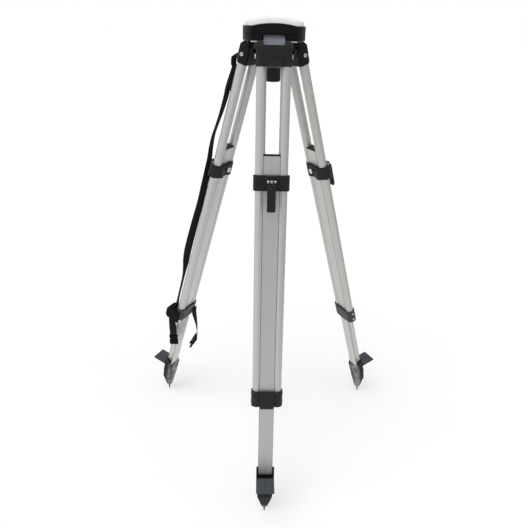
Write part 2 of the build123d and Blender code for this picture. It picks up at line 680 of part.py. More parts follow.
def bracket_outline():
    """Plan of the lower bracket: round ends on the tubes and a raised panel on the outer side."""
    with Locations(*TUBE_PLACES):
        Circle(BRACKET_RADIUS)
    with Locations((0, -BRACKET_RADIUS / 2)):
        Rectangle(TUBE_SPACING, BRACKET_RADIUS)
    with Locations((0, BRACKET_RADIUS / 2)):
        Rectangle(PANEL_WIDTH, BRACKET_RADIUS)
    crest = BRACKET_RADIUS + PANEL_PROUD
    with BuildLine() as panel:
        Polyline((-PANEL_WIDTH / 2, BRACKET_RADIUS), (-PANEL_TOP_WIDTH / 2, crest),
                 (PANEL_TOP_WIDTH / 2, crest), (PANEL_WIDTH / 2, BRACKET_RADIUS), close=True)
    make_face(panel.edges())
    Rectangle(2 * BRACKET_END, 3 * BRACKET_RADIUS, mode=Mode.INTERSECT)


def screw_rows():
    """Distances down the leg of the two screws in each end of a bracket."""
    return (BRACKET_TOP + BRACKET_SCREW_INSET, BRACKET_BOTTOM - BRACKET_SCREW_INSET)


def lower_bracket(leg):
    """Black bracket at the lower end of the tubes, which guides the inner leg."""
    with BuildPart() as bracket:
        with BuildSketch(leg.across(BRACKET_TOP)):
            bracket_outline()
        extrude(amount=BRACKET_HEIGHT)
        with BuildSketch(leg.across(BRACKET_BOTTOM)):
            bracket_outline()
            Rectangle(PANEL_WIDTH, 3 * BRACKET_RADIUS, mode=Mode.INTERSECT)
        extrude(amount=PANEL_DROP, taper=PANEL_TAPER)
        with BuildSketch(leg.across(BRACKET_TOP)):
            inner_leg_section(SLIDING)
            with Locations(*TUBE_PLACES):
                Circle(TUBE_RADIUS + SEAT)
        extrude(amount=BRACKET_HEIGHT + PANEL_DROP, mode=Mode.SUBTRACT)
        for s in screw_rows():
            with BuildSketch(leg.endways(0, s)):
                Circle(BRACKET_SHANK + SEAT)
            extrude(amount=BRACKET_END, both=True, mode=Mode.SUBTRACT)
    save(bracket, f"lower_bracket_{leg.name}")


def bracket_screws(leg):
    """Set screws in the bracket's ends that bear on the tubes."""
    with BuildPart() as screws:
        for end in (-1, 1):
            for s in screw_rows():
                seat = Plane(leg.point(s, 0, end * BRACKET_END), x_dir=leg.face, z_dir=leg.side * end)
                with BuildSketch(seat):
                    Circle(BRACKET_SCREW_RADIUS)
                extrude(amount=BRACKET_SCREW_HEAD)
                with BuildSketch(seat):
                    Circle(BRACKET_SHANK)
                extrude(amount=-(BRACKET_END - TUBE_V - TUBE_RADIUS - SEAT))
    save(screws, f"bracket_screws_{leg.name}")


# Sliding half of a leg

def inner_leg_cavity(play=0.0, mode=Mode.SUBTRACT):
    """Hollow of the bar, less the play of a plug in it."""
    waist = TUBE_SPACING - 2 * GROOVE_RADIUS
    Rectangle(waist - 2 * INNER_WALL - 2 * play, INNER_DEPTH - 2 * INNER_WALL - 2 * play, mode=mode)


def inner_leg(leg):
    """Hollow aluminium bar that slides between the tubes."""
    with BuildPart() as bar:
        with BuildSketch(leg.across(leg.inner_top + CAP_THICKNESS)):
            inner_leg_section()
            inner_leg_cavity()
        extrude(amount=SOCKET_END - CAP_THICKNESS)
        with BuildSketch(leg.facing(0, leg.inner_top + LEVER_PIN_T)):
            Circle(CLAMP_BOLT_RADIUS + SEAT)
        extrude(amount=INNER_DEPTH, both=True, mode=Mode.SUBTRACT)
    save(bar, f"inner_leg_{leg.name}")


def inner_leg_cap(leg):
    """Black plug in the top end of the bar."""
    with BuildPart() as cap:
        with BuildSketch(leg.across(leg.inner_top)):
            inner_leg_section()
        extrude(amount=CAP_THICKNESS)
        with BuildSketch(leg.across(leg.inner_top + CAP_THICKNESS)):
            inner_leg_cavity(SEAT, Mode.ADD)
        extrude(amount=CAP_PLUG)
    save(cap, f"inner_leg_cap_{leg.name}")


def cut_clamp_passage(leg):
    """Room for the tubes and the inner leg through a clamp jaw."""
    with BuildSketch(leg.across(leg.inner_top + CLAMP_TOP)) as passage:
        Rectangle(INNER_WIDTH + 2 * SEAT, INNER_DEPTH)
        with Locations(*TUBE_PLACES):
            Circle(GROOVE_RADIUS)
    extrude(passage.sketch, amount=CLAMP_HEIGHT, mode=Mode.SUBTRACT)
    with BuildSketch(leg.facing(0, leg.inner_top + LEVER_PIN_T)) as bolt_hole:
        Circle(CLAMP_BOLT_RADIUS + SEAT)
    extrude(bolt_hole.sketch, amount=CLAMP_WIDTH, both=True, mode=Mode.SUBTRACT)


def clamp_outer_jaw(leg):
    """Outer half of the clamp, with the boss that the lever's cam presses on."""
    with BuildPart() as jaw:
        with BuildSketch(leg.across(leg.inner_top + CLAMP_TOP)) as plan:
            with Locations((0, (CLAMP_FRONT + JAW_GAP / 2) / 2)):
                Rectangle(CLAMP_WIDTH, CLAMP_FRONT - JAW_GAP / 2)
            fillet(plan.vertices().group_by(Axis.Y)[-1], JAW_CORNER)
        extrude(amount=CLAMP_HEIGHT)
        ends = jaw.faces().sort_by(leg.axis())
        for end in (ends[0], ends[-1]):
            rim = end.edges().sort_by(Axis(leg.pin, leg.face))[1:]
            fillet(rim, JAW_EDGE)
        with BuildSketch(leg.facing(CLAMP_FRONT, leg.inner_top + LEVER_PIN_T)):
            RectangleRounded(BOSS_WIDTH, BOSS_HEIGHT, BOSS_CORNER)
        extrude(amount=BOSS_FRONT - CLAMP_FRONT)
        cut_clamp_passage(leg)
    save(jaw, f"clamp_outer_jaw_{leg.name}")


def clamp_inner_jaw(leg):
    """Inner half of the clamp, bevelled at its corners, with a pocket for the nut."""
    with BuildPart() as jaw:
        with BuildSketch(leg.across(leg.inner_top + CLAMP_TOP)):
            with BuildLine():
                Polyline((0, -JAW_GAP / 2), (CLAMP_WIDTH / 2, -JAW_GAP / 2),
                         (CLAMP_WIDTH / 2, -CLAMP_BACK + JAW_BEVEL_DEPTH),
                         (CLAMP_WIDTH / 2 - JAW_BEVEL_WIDTH, -CLAMP_BACK), (0, -CLAMP_BACK))
                mirror(about=Plane.YZ)
            make_face()
        extrude(amount=CLAMP_HEIGHT)
        ends = jaw.faces().sort_by(leg.axis())
        for end in (ends[0], ends[-1]):
            rim = end.edges().sort_by(Axis(leg.pin, leg.face))[:-1]
            chamfer(rim, JAW_CHAMFER)
        cut_clamp_passage(leg)
        pocket_height = CLAMP_HEIGHT - NUT_RAIL
        pocket_middle = leg.inner_top + CLAMP_TOP + NUT_RAIL + pocket_height / 2
        with BuildSketch(leg.facing(-CLAMP_BACK, pocket_middle)):
            Rectangle(NUT_POCKET_WIDTH, pocket_height)
        extrude(amount=NUT_POCKET_DEPTH, mode=Mode.SUBTRACT)
    save(jaw, f"clamp_inner_jaw_{leg.name}")


def clamp_bolt(leg):
    """Bolt through the clamp, from the round nut inside to the lever pin outside."""
    bolt_s = leg.inner_top + LEVER_PIN_T
    nut_face = -CLAMP_BACK + NUT_POCKET_DEPTH
    bolt_inner_end = nut_face - NUT_THICKNESS
    bolt_outer_end = LEVER_PIN_OUT + LEVER_PIN_RADIUS + CLAMP_BOLT_END
    with BuildPart() as bolt:
        with BuildSketch(leg.facing(bolt_inner_end, bolt_s)):
            Circle(CLAMP_BOLT_RADIUS)
        extrude(amount=bolt_outer_end - bolt_inner_end)
        with BuildSketch(leg.facing(bolt_inner_end, bolt_s)):
            Circle(NUT_RADIUS)
            Circle(CLAMP_BOLT_RADIUS + SEAT, mode=Mode.SUBTRACT)
        extrude(amount=NUT_THICKNESS)
    save(bolt, f"clamp_bolt_{leg.name}")


def lever_pin(leg):
    """Cross pin of the lever, drilled for the clamp bolt."""
    bolt_s = leg.inner_top + LEVER_PIN_T
    with BuildPart() as pin:
        with BuildSketch(leg.endways(0, bolt_s)):
            with Locations((LEVER_PIN_OUT, 0)):
                Circle(LEVER_PIN_RADIUS)
        extrude(amount=LEVER_PIN_LENGTH / 2, both=True)
        with BuildSketch(leg.facing(LEVER_PIN_OUT, bolt_s)):
            Circle(CLAMP_BOLT_RADIUS + SEAT)
        extrude(amount=2 * LEVER_PIN_RADIUS, both=True, mode=Mode.SUBTRACT)
    save(pin, f"lever_pin_{leg.name}")


def clamp_lever(leg):
    """Cam lever: two eccentric tines on the pin and an arm that lies along the leg."""
    pin_s = leg.inner_top + LEVER_PIN_T
    arm_inner = LEVER_PIN_OUT + LEVER_INNER
    arm_middle = arm_inner + LEVER_THICKNESS / 2
    with BuildPart() as lever:
        with BuildSketch(leg.endways(-LEVER_WIDTH / 2, pin_s)) as arm:
            with Locations((arm_middle, (LEVER_START + LEVER_LENGTH) / 2)):
                Rectangle(LEVER_THICKNESS, LEVER_LENGTH - LEVER_START)
            rows = arm.vertices().group_by(Axis.Y)
            fillet(rows[-1], LEVER_END_CORNER)
        extrude(amount=LEVER_WIDTH)
        chamfer(lever.edges().filter_by(leg.axis()), LEVER_EDGE)
        for start in (-LEVER_TINE_OUTER, LEVER_TINE_INNER):
            with BuildSketch(leg.endways(start, pin_s)):
                with Locations((LEVER_PIN_OUT - LEVER_CAM_OFFSET, 0)):
                    Circle(LEVER_CAM_RADIUS)
                with BuildLine():
                    Polyline((LEVER_PIN_OUT, -LEVER_CAM_RADIUS + LEVER_CAM_OFFSET),
                             (arm_middle, -LEVER_CAM_RADIUS + LEVER_CAM_OFFSET),
                             (arm_inner + LEVER_THICKNESS, LEVER_START),
                             (arm_inner + LEVER_THICKNESS, 2 * LEVER_START),
                             (arm_inner, 2 * LEVER_START),
                             (LEVER_PIN_OUT, LEVER_START - LEVER_CAM_OFFSET), close=True)
                make_face()
                with Locations((LEVER_PIN_OUT, 0)):
                    Circle(LEVER_PIN_RADIUS + RUNNING, mode=Mode.SUBTRACT)
            extrude(amount=LEVER_TINE_OUTER - LEVER_TINE_INNER)
    save(lever, f"clamp_lever_{leg.name}")


def nose_u():
    """How far out the shoe's nose lies, on the line from the socket to the spike's end."""
    middle = (SHOE_FRONT - SHOE_BACK) / 2
    along = (NOSE_T - SHOE_BOTTOM) / (TIP_DROP - SHOE_BOTTOM)
    return middle + (-TIP_INSET - middle) * along


def spike_length():
    """From the centre of the spike's round end to the shoe's nose."""
    return hypot(TIP_DROP - NOSE_T, nose_u() + TIP_INSET)


def spike_plane(leg):
    """Plane at the centre of the spike's round end, which faces up along the spike."""
    end = leg.point(leg.inner_top + TIP_DROP, -TIP_INSET)
    nose = leg.point(leg.inner_top + NOSE_T, nose_u())
    return Plane(end, x_dir=leg.side, z_dir=nose - end)


def shoe(leg):
    """Cast foot: a socket with raised ears, a step plate, and a nose that bends in to the spike."""
    top = leg.inner_top
    half = SHOE_WIDTH / 2
    middle = (SHOE_FRONT - SHOE_BACK) / 2
    with BuildPart() as foot:
        with BuildSketch(leg.endways(-half, top)):
            with BuildLine():
                Polyline((-SHOE_BACK, SHOE_BACK_TOP), (SHOE_FRONT - 2 * SHOE_CORNER, SHOE_TOP),
                         (SHOE_FRONT, SHOE_TOP), (SHOE_FRONT, SHOE_BOTTOM),
                         (-SHOE_BACK, SHOE_BOTTOM), close=True)
            make_face()
        extrude(amount=SHOE_WIDTH)
        with BuildSketch(leg.facing(INNER_DEPTH / 2, top + (SHOE_TOP + SHOE_FRONT_TOP) / 2)):
            Rectangle(INNER_WIDTH, SHOE_FRONT_TOP - SHOE_TOP)
        extrude(amount=SHOE_WIDTH, mode=Mode.SUBTRACT)
        with BuildSketch(leg.across(top + SHOE_BOTTOM)):
            with Locations((0, middle)):
                Rectangle(SHOE_WIDTH, SHOE_FRONT + SHOE_BACK)
        with BuildSketch(leg.across(top + CALF_T)):
            with Locations((0, CALF_U)):
                Rectangle(CALF_WIDTH, CALF_DEPTH)
        spike_base = spike_plane(leg)
        nose = Plane(spike_base.offset(spike_length()).origin, x_dir=leg.side, z_dir=-spike_base.z_dir)
        with BuildSketch(nose):
            Rectangle(NOSE_WIDTH, NOSE_DEPTH)
        loft(ruled=True)
        with BuildSketch(leg.endways(-half, top)):
            with BuildLine():
                Polyline((SHOE_FRONT, STEP_T), (STEP_REACH, STEP_T + STEP_FALL),
                         (STEP_REACH, STEP_T + STEP_FALL + STEP_THICKNESS),
                         (SHOE_FRONT, STEP_T + STEP_THICKNESS), close=True)
            make_face()
        extrude(amount=SHOE_WIDTH)
        plate_corners = foot.edges().filter_by(leg.axis(), tolerance=15).sort_by(Axis(leg.pin, leg.face))
        fillet(plate_corners[-2:], STEP_CORNER)
        with BuildSketch(leg.endways(-STEP_RIB_WIDTH / 2, top)):
            with BuildLine():
                Polyline((SHOE_FRONT, STEP_T + STEP_THICKNESS),
                         (STEP_REACH - SHOE_FRONT, STEP_T + STEP_FALL + STEP_THICKNESS / 2),
                         (SHOE_FRONT, STEP_T + STEP_RIB_HEIGHT), close=True)
            make_face()
        extrude(amount=STEP_RIB_WIDTH)
        groove_end = SHOE_FRONT + (STEP_REACH - SHOE_FRONT) * STEP_GROOVE_SHARE
        groove_t = STEP_T + STEP_FALL * STEP_GROOVE_SHARE
        with BuildSketch(leg.endways(-STEP_GROOVE_WIDTH / 2, top)):
            with BuildLine():
                Polyline((SHOE_FRONT, STEP_T - STEP_GROOVE_DEPTH), (groove_end, groove_t - STEP_GROOVE_DEPTH),
                         (groove_end, groove_t + STEP_GROOVE_DEPTH), (SHOE_FRONT, STEP_T + STEP_GROOVE_DEPTH),
                         close=True)
            make_face()
        extrude(amount=STEP_GROOVE_WIDTH, mode=Mode.SUBTRACT)
        with BuildSketch(leg.across(top + SHOE_TOP)):
            inner_leg_section(SEAT)
        extrude(amount=SOCKET_END - SHOE_TOP, mode=Mode.SUBTRACT)
        with BuildSketch(spike_base):
            Circle(SPIKE_SHANK + SEAT)
        extrude(amount=spike_length() + SPIKE_SHANK_LENGTH, mode=Mode.SUBTRACT)
    save(foot, f"shoe_{leg.name}")


def spike(leg):
    """Steel point of a foot."""
    base = spike_plane(leg)
    length = spike_length()
    with BuildPart() as point:
        with BuildSketch(Plane(base.origin, x_dir=base.x_dir, z_dir=-base.y_dir)):
            with BuildLine():
                CenterArc((0, 0), TIP_RADIUS, -90, 90)
                Polyline((TIP_RADIUS, 0), (SPIKE_RADIUS, length), (SPIKE_SHANK, length),
                         (SPIKE_SHANK, length + SPIKE_SHANK_LENGTH - SEAT),
                         (0, length + SPIKE_SHANK_LENGTH - SEAT), (0, -TIP_RADIUS))
            make_face()
        revolve(axis=Axis(base.origin, base.z_dir))
    save(point, f"spike_{leg.name}")


# Straps on the left leg

def strap_stations():
    """Places of the carry strap down the leg: s, the strap's middle in u and v, and its thickness."""
    double = 2 * STRAP_THICKNESS
    neck_u = (LOOP_NECK_INNER + LOOP_NECK_OUTER) / 2
    stations = [
        (SEWN_TOP - double, neck_u, 0, double),
        (SEWN_END - STRAP_THICKNESS, SLACK_U + STRAP_THICKNESS / 2, TUBE_V, double),
    ]
    for start, end in ((SEWN_END, WAVE_MIDDLE), (WAVE_MIDDLE, WAVE_END)):
        for step in range(WAVE_STEPS):
            share = step / WAVE_STEPS
            u = SLACK_U + WAVE_RISE * sin(pi * share) ** 2
            stations.append((start + (end - start) * share, u, TUBE_V, STRAP_THICKNESS))
    stations.append((WAVE_END, SLACK_U, TUBE_V, STRAP_THICKNESS))
    stations.append((ANCHOR_TOP - SEAT, SLACK_U, TUBE_V, STRAP_THICKNESS))
    return stations


def carry_strap(leg):
    """Slack webbing down the outer side of the leg, looped through the bridge and sewn to itself."""
    with BuildPart() as strap:
        for s, u, v, thickness in strap_stations():
            with BuildSketch(leg.across(s)):
                with Locations((v, u)):
                    Rectangle(STRAP_WIDTH, thickness)
        loft(ruled=True)
        with BuildSketch(leg.endways(-STRAP_WIDTH / 2)):
            with BuildLine():
                FilletPolyline((LOOP_INNER, BLOCK_BELOW + STRAP_THICKNESS), (LOOP_INNER, LOOP_TOP),
                               (LOOP_SHOULDER, LOOP_TOP), (LOOP_REACH, LOOP_MIDDLE),
                               (LOOP_REACH, LOOP_MIDDLE + LOOP_TOP),
                               (LOOP_NECK_OUTER, SEWN_TOP), (LOOP_NECK_INNER, SEWN_TOP),
                               radius=LOOP_CORNER, close=True)
            make_face()
            offset(amount=-STRAP_THICKNESS, mode=Mode.SUBTRACT)
        extrude(amount=STRAP_WIDTH)
    save(strap, "carry_strap")


def strap_anchor(leg):
    """Rounded black keeper on the outer corner of the left bracket."""
    with BuildPart() as anchor:
        with BuildSketch(leg.endways(ANCHOR_INNER, ANCHOR_TOP)) as side:
            with Locations(((ANCHOR_START + ANCHOR_REACH) / 2, ANCHOR_HEIGHT / 2)):
                Rectangle(ANCHOR_REACH - ANCHOR_START, ANCHOR_HEIGHT)
            fillet(side.vertices().group_by(Axis.X)[-1], ANCHOR_CORNER)
        extrude(amount=ANCHOR_OUTER - ANCHOR_INNER)
        with BuildSketch(leg.across(ANCHOR_TOP)):
            bracket_outline()
            Rectangle(PANEL_WIDTH + 2 * SEAT, 3 * BRACKET_RADIUS)
            with Locations(*TUBE_PLACES):
                Circle(BRACKET_RADIUS + SEAT)
            with Locations((BRACKET_END, 0)):
                Rectangle(2 * BRACKET_SCREW_HEAD + 2 * SEAT, 2 * BRACKET_SCREW_RADIUS + 2 * SEAT)
        extrude(amount=ANCHOR_HEIGHT, mode=Mode.SUBTRACT)
    save(anchor, "strap_anchor")


def closing_hang(leg):
    """Plane under the anchor where the closing strap starts: it faces straight down."""
    start = leg.point(ANCHOR_TOP + ANCHOR_HEIGHT + SEAT, CLOSING_OUT, CLOSING_SIDE)
    return Plane(start, x_dir=(1, 0, 0), z_dir=(0, 0, -1))


def closing_strap(leg):
    """Short webbing under the anchor that turns to the front as it hangs, down to its buckle."""
    hang = closing_hang(leg)
    with BuildPart() as strap:
        for step in range(-1, CLOSING_STEPS + 1):
            share = step / CLOSING_STEPS
            with BuildSketch(hang.offset(CLOSING_LENGTH * share)):
                Rectangle(CLOSING_WIDTH, CLOSING_THICKNESS, rotation=CLOSING_TWIST * (share - 1))
        loft(ruled=True)
        split(bisect_by=leg.across(ANCHOR_TOP + ANCHOR_HEIGHT + SEAT), keep=Keep.TOP)
    save(strap, "closing_strap")


def buckle_socket(leg):
    """Socket half of the buckle: a shoulder for the webbing, a waist, and a body with side windows."""
    top = closing_hang(leg).offset(CLOSING_LENGTH)
    front = Plane(top.origin, x_dir=top.z_dir, z_dir=(0, -1, 0))
    half = BUCKLE_WIDTH / 2
    waist = SOCKET_WAIST / 2
    waist_top = SOCKET_SHOULDER + SOCKET_SLANT
    waist_end = waist_top + SOCKET_WAIST_LENGTH
    with BuildPart() as socket:
        with BuildSketch(front):
            with BuildLine():
                Polyline((0, 0), (0, half), (SOCKET_SHOULDER, half), (waist_top, waist),
                         (waist_end, waist), (waist_end + SOCKET_SLANT, half),
                         (SOCKET_LENGTH, half), (SOCKET_LENGTH, 0))
                mirror(about=Plane.XZ)
            make_face()
        extrude(amount=BUCKLE_DEPTH / 2, both=True)
        chamfer(socket.edges().filter_by(Axis.Z), BUCKLE_WALL / 2)
        with BuildSketch(top.offset(SOCKET_LENGTH)):
            Rectangle(BUCKLE_WIDTH - 2 * BUCKLE_WALL, BUCKLE_DEPTH - 2 * BUCKLE_WALL)
        extrude(amount=-SOCKET_MOUTH, mode=Mode.SUBTRACT)
        with BuildSketch(Plane(top.origin, x_dir=top.z_dir, z_dir=top.x_dir)):
            with Locations((WINDOW_TOP + WINDOW_HEIGHT / 2, 0)):
                Rectangle(WINDOW_HEIGHT, BUCKLE_DEPTH - 2 * BUCKLE_WALL)
        extrude(amount=BUCKLE_WIDTH, both=True, mode=Mode.SUBTRACT)
    save(socket, "buckle_socket")


def tail_stations():
    """Places of the other closing strap: s, u and the turn of its width, in degrees."""
    behind = BRACKET_RADIUS + CLOSING_THICKNESS / 2 + SEAT
    bend = BRACKET_RADIUS + TAIL_BEND
    stations = [(BRACKET_TOP + TAIL_START, -behind, 0)]
    for step in range(TAIL_STEPS + 1):
        share = step / TAIL_STEPS
        away = bend + (TAIL_AWAY - bend) * sin(pi * share / 2)
        stations.append((BRACKET_BOTTOM + TAIL_DROP * share, -away, -TAIL_TURN * share))
    return stations


def closing_strap_tail(leg):
    """The other webbing, from the bracket's inner side, which turns edge on as it hangs away."""
    with BuildPart() as strap:
        for s, u, turn in tail_stations():
            with BuildSketch(leg.across(s)):
                with Locations((TAIL_SIDE, u)):
                    Rectangle(CLOSING_WIDTH, CLOSING_THICKNESS, rotation=turn)
        loft(ruled=True)
    save(strap, "closing_strap_tail")


def buckle_prong(leg):
    """Prong half of the buckle, with two springy arms, askew at the end of its strap."""
    end_s, end_u, end_turn = tail_stations()[-1]
    under = leg.across(end_s + SEAT)
    prong_width = BUCKLE_WIDTH - 2 * BUCKLE_WALL - 2 * SEAT
    prong_depth = BUCKLE_DEPTH - 2 * BUCKLE_WALL - 2 * SEAT
    with BuildPart() as prong:
        with BuildSketch(under):
            with Locations((TAIL_SIDE, end_u)):
                Rectangle(BUCKLE_WIDTH, prong_depth, rotation=end_turn)
        extrude(amount=PRONG_BASE, dir=PRONG_HANG)
        base_end = under.origin + Vector(PRONG_HANG).normalized() * PRONG_BASE
        with BuildSketch(Plane(base_end, x_dir=leg.side, z_dir=leg.down)):
            with Locations(Location((TAIL_SIDE, end_u), end_turn)):
                Rectangle(prong_width, prong_depth)
                Rectangle(prong_width / 2, prong_depth, mode=Mode.SUBTRACT)
        extrude(amount=PRONG_LENGTH, dir=PRONG_HANG)
    save(prong, "buckle_prong")


dome_plate()
head_rim()
lug_ring()
retainer()
slide_washer()
guide_bush()
thrust_washer()
fixing_screw()
screw_knob()
for each in LEGS:
    hinge_block(each)
    hinge_bolt(each)
    upper_tubes(each)
    lower_bracket(each)
    bracket_screws(each)
    inner_leg(each)
    inner_leg_cap(each)
    clamp_outer_jaw(each)
    clamp_inner_jaw(each)
    clamp_bolt(each)
    lever_pin(each)
    clamp_lever(each)
    shoe(each)
    spike(each)
carry_strap(LEFT)
strap_anchor(LEFT)
closing_strap(LEFT)
buckle_socket(LEFT)
closing_strap_tail(LEFT)
buckle_prong(LEFT)
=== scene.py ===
# %% [markdown]
# # A dome head tripod
# This lesson dresses a surveying tripod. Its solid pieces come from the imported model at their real
# size and stay where they are. Here they get their finishes. The solid straps are only plain strips,
# and stitches, screw recesses and a thread are too fine for solids, so those are made in Blender.

# %% Load the frame
import json
from math import cos, pi, radians, sin

import bmesh
import bpy
from mathutils import Matrix, Vector


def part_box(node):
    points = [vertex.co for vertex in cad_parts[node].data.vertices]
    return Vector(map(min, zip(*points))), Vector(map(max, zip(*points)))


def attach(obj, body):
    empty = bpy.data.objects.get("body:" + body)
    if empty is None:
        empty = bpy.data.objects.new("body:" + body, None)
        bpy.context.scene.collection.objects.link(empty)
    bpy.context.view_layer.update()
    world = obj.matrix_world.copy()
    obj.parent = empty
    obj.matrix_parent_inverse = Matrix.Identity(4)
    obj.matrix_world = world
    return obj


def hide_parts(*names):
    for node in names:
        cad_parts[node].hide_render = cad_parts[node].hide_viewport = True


MM = 0.001
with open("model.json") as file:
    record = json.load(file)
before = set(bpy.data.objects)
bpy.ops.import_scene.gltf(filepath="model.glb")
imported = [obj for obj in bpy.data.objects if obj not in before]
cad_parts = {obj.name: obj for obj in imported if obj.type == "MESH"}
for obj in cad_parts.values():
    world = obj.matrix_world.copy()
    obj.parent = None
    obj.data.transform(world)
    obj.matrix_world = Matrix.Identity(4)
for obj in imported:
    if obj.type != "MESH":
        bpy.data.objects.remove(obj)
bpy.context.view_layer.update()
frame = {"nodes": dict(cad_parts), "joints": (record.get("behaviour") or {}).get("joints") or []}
joints = {joint["name"]: joint for joint in frame["joints"]}

# %% [markdown]
# Each leg has directions of its own: down the leg, outwards from the plane of its tubes, and across.
# The joints already hold them, so nothing is measured again. A point on a leg is then three numbers:
# s down from the hinge pin, u outwards and v across.


# %% Directions of the legs
class Leg:
    """A leg's hinge pin and its three directions, read from its two joints."""

    def __init__(self, name):
        swing = joints[f"leg_swing_{name}"]
        self.pin = Vector(swing["pos_m"])
        self.side = -Vector(swing["axis"])
        self.down = Vector(joints[f"leg_slide_{name}"]["axis"])
        self.face = self.down.cross(self.side)

    def point(self, s, u=0.0, v=0.0):
        return self.pin + self.down * s + self.face * u + self.side * v


legs = {name: Leg(name) for name in ("front", "left", "right")}
left = legs["left"]
print("hinge pins stand", round(left.pin.z, 3), "m above the ground")

# %% [markdown]
# A finish is a small tree of shader nodes. Colours are written as the hex values that a colour picker
# shows and turned to linear light in one place. One function adds a node: plain values go on its
# sockets, a socket of another node is linked, and a whole node stands for its first output. The same
# function serves the geometry trees further down.


# %% Tools for node trees
def linear(colour):
    """An sRGB hex colour as linear light, with alpha."""
    channels = [int(colour[start:start + 2], 16) / 255 for start in (1, 3, 5)]
    return (*[c / 12.92 if c <= 0.04045 else ((c + 0.055) / 1.055) ** 2.4 for c in channels], 1.0)


def add_node(tree, kind, inputs=None, **settings):
    """Adds a node. Settings are its own properties; inputs, by name or number, are values or links."""
    node = tree.nodes.new(kind)
    for name, value in settings.items():
        setattr(node, name, value)
    for key, value in (inputs or {}).items():
        source = value.outputs[0] if isinstance(value, bpy.types.Node) else value
        if isinstance(source, bpy.types.NodeSocket):
            tree.links.new(source, node.inputs[key])
        else:
            node.inputs[key].default_value = source
    return node


def two_colours(tree, share, colour, other):
    """A link that goes from one colour to the other as the share goes from 0 to 1."""
    factor, first, second, result = 0, 6, 7, 2      # a colour mix has sockets of other kinds between
    start, end = (linear(c) if isinstance(c, str) else c for c in (colour, other))
    mix = add_node(tree, "ShaderNodeMix", {factor: share, first: start, second: end}, data_type="RGBA")
    return mix.outputs[result]


def per_metre(size):
    """Scale of a texture whose features are to be this many metres across."""
    return 1 / size


print("blacks such as #1b1b1c are", round(linear("#1b1b1c")[0], 4), "of white in linear light")

# %% [markdown]
# Every finish ends in one principled shader. Most of them let a pattern vary the gloss and press a
# relief into the surface with a bump node, so this is done in one place, and a number that is the same
# all over goes straight on the shader's socket. The plainest finishes come first. The washers inside
# the head are pale slippery acetal, which is waxy and a little cloudy. The thread of the seams is
# bonded polyester, darker and paler along its twist. A noise gives both their two close colours.


# %% Washer plastic and thread
def new_finish(name):
    """A material and its tree, still empty."""
    material = bpy.data.materials.new(name)
    material.use_nodes = True
    material.node_tree.nodes.clear()
    return material, material.node_tree


def end_finish(material, colour, gloss, relief=None, **sockets):
    """Ends a finish in its shader. Further sockets are given by name, with _ for spaces.

    gloss is a roughness, or a pattern with the roughness at its 0 and at its 1. relief is what goes on
    the sockets of a bump node.
    """
    tree = material.node_tree
    values = {key.replace("_", " "): value for key, value in sockets.items()}
    if isinstance(gloss, tuple):
        pattern, low, high = gloss
        gloss = add_node(tree, "ShaderNodeMapRange", {"Value": pattern, "To Min": low, "To Max": high})
    if relief:
        values["Normal"] = add_node(tree, "ShaderNodeBump", relief)
    shader = add_node(tree, "ShaderNodeBsdfPrincipled",
                      {"Base Color": colour, "Roughness": gloss, **values})
    add_node(tree, "ShaderNodeOutputMaterial", {"Surface": shader})
    return material


def clouded(name, colour, other, cloud, roughness, **sockets):
    """A material of two close colours in soft clouds of this size."""
    material, tree = new_finish(name)
    place = add_node(tree, "ShaderNodeTexCoord").outputs["Object"]
    share = add_node(tree, "ShaderNodeTexNoise", {"Vector": place, "Scale": per_metre(cloud)})
    return end_finish(material, two_colours(tree, share, colour, other), roughness, **sockets)


acetal = clouded("acetal", "#dddcd4", "#cfcec6", 9 * MM, 0.45, IOR=1.48)
thread = clouded("black_thread", "#262628", "#4a4a4d", 1.2 * MM, 0.5, IOR=1.5, Specular_IOR_Level=0.2)
print("plain finishes:", acetal.name, thread.name)

# %% [markdown]
# The moulded pieces, such as the hinge blocks, brackets, clamps and levers, are black glass-filled nylon. A
# spark-eroded mould leaves a fine dull grain, drawn here coarser than the real one so that it shows.
# Handling rubs the edges a little paler. A bevel node finds the edges, and its rounded normal gives each of
# them the thin bright line that a moulded edge has. Mouldings differ in gloss: the rear brackets are the
# shiniest, the strap's keeper and the buckle are the dullest. The rear hinge blocks have a darker copy of
# the nylon, which is painted shade, and the rear brackets a paler one, which is painted light.

# %% Black moulded nylon
EDGE_TURN = (0.98, 0.75)        # cosine of the rounded normal's turn where an edge begins and is full
NYLON_EDGE = 1.4 * MM           # how far in from an edge it is rubbed
NYLON_PATCH = 35 * MM           # patches that are rubbed and shine unevenly
NYLON_GRAIN = 3.2 * MM
NYLON_GRAIN_DEPTH = 0.12 * MM


def worn_edges(tree, radius, patches):
    """How far an edge is worn, from 0 on flat faces up to 1, and the rounded normal there."""
    rounded = add_node(tree, "ShaderNodeBevel", {"Radius": radius}, samples=6)
    flat = add_node(tree, "ShaderNodeNewGeometry").outputs["Normal"]
    turn = add_node(tree, "ShaderNodeVectorMath", {0: rounded, 1: flat}, operation="DOT_PRODUCT")
    edge = add_node(tree, "ShaderNodeMapRange",
                    {"Value": turn.outputs["Value"], "From Min": EDGE_TURN[0], "From Max": EDGE_TURN[1]})
    return add_node(tree, "ShaderNodeMath", {0: edge, 1: patches}, operation="MULTIPLY"), rounded


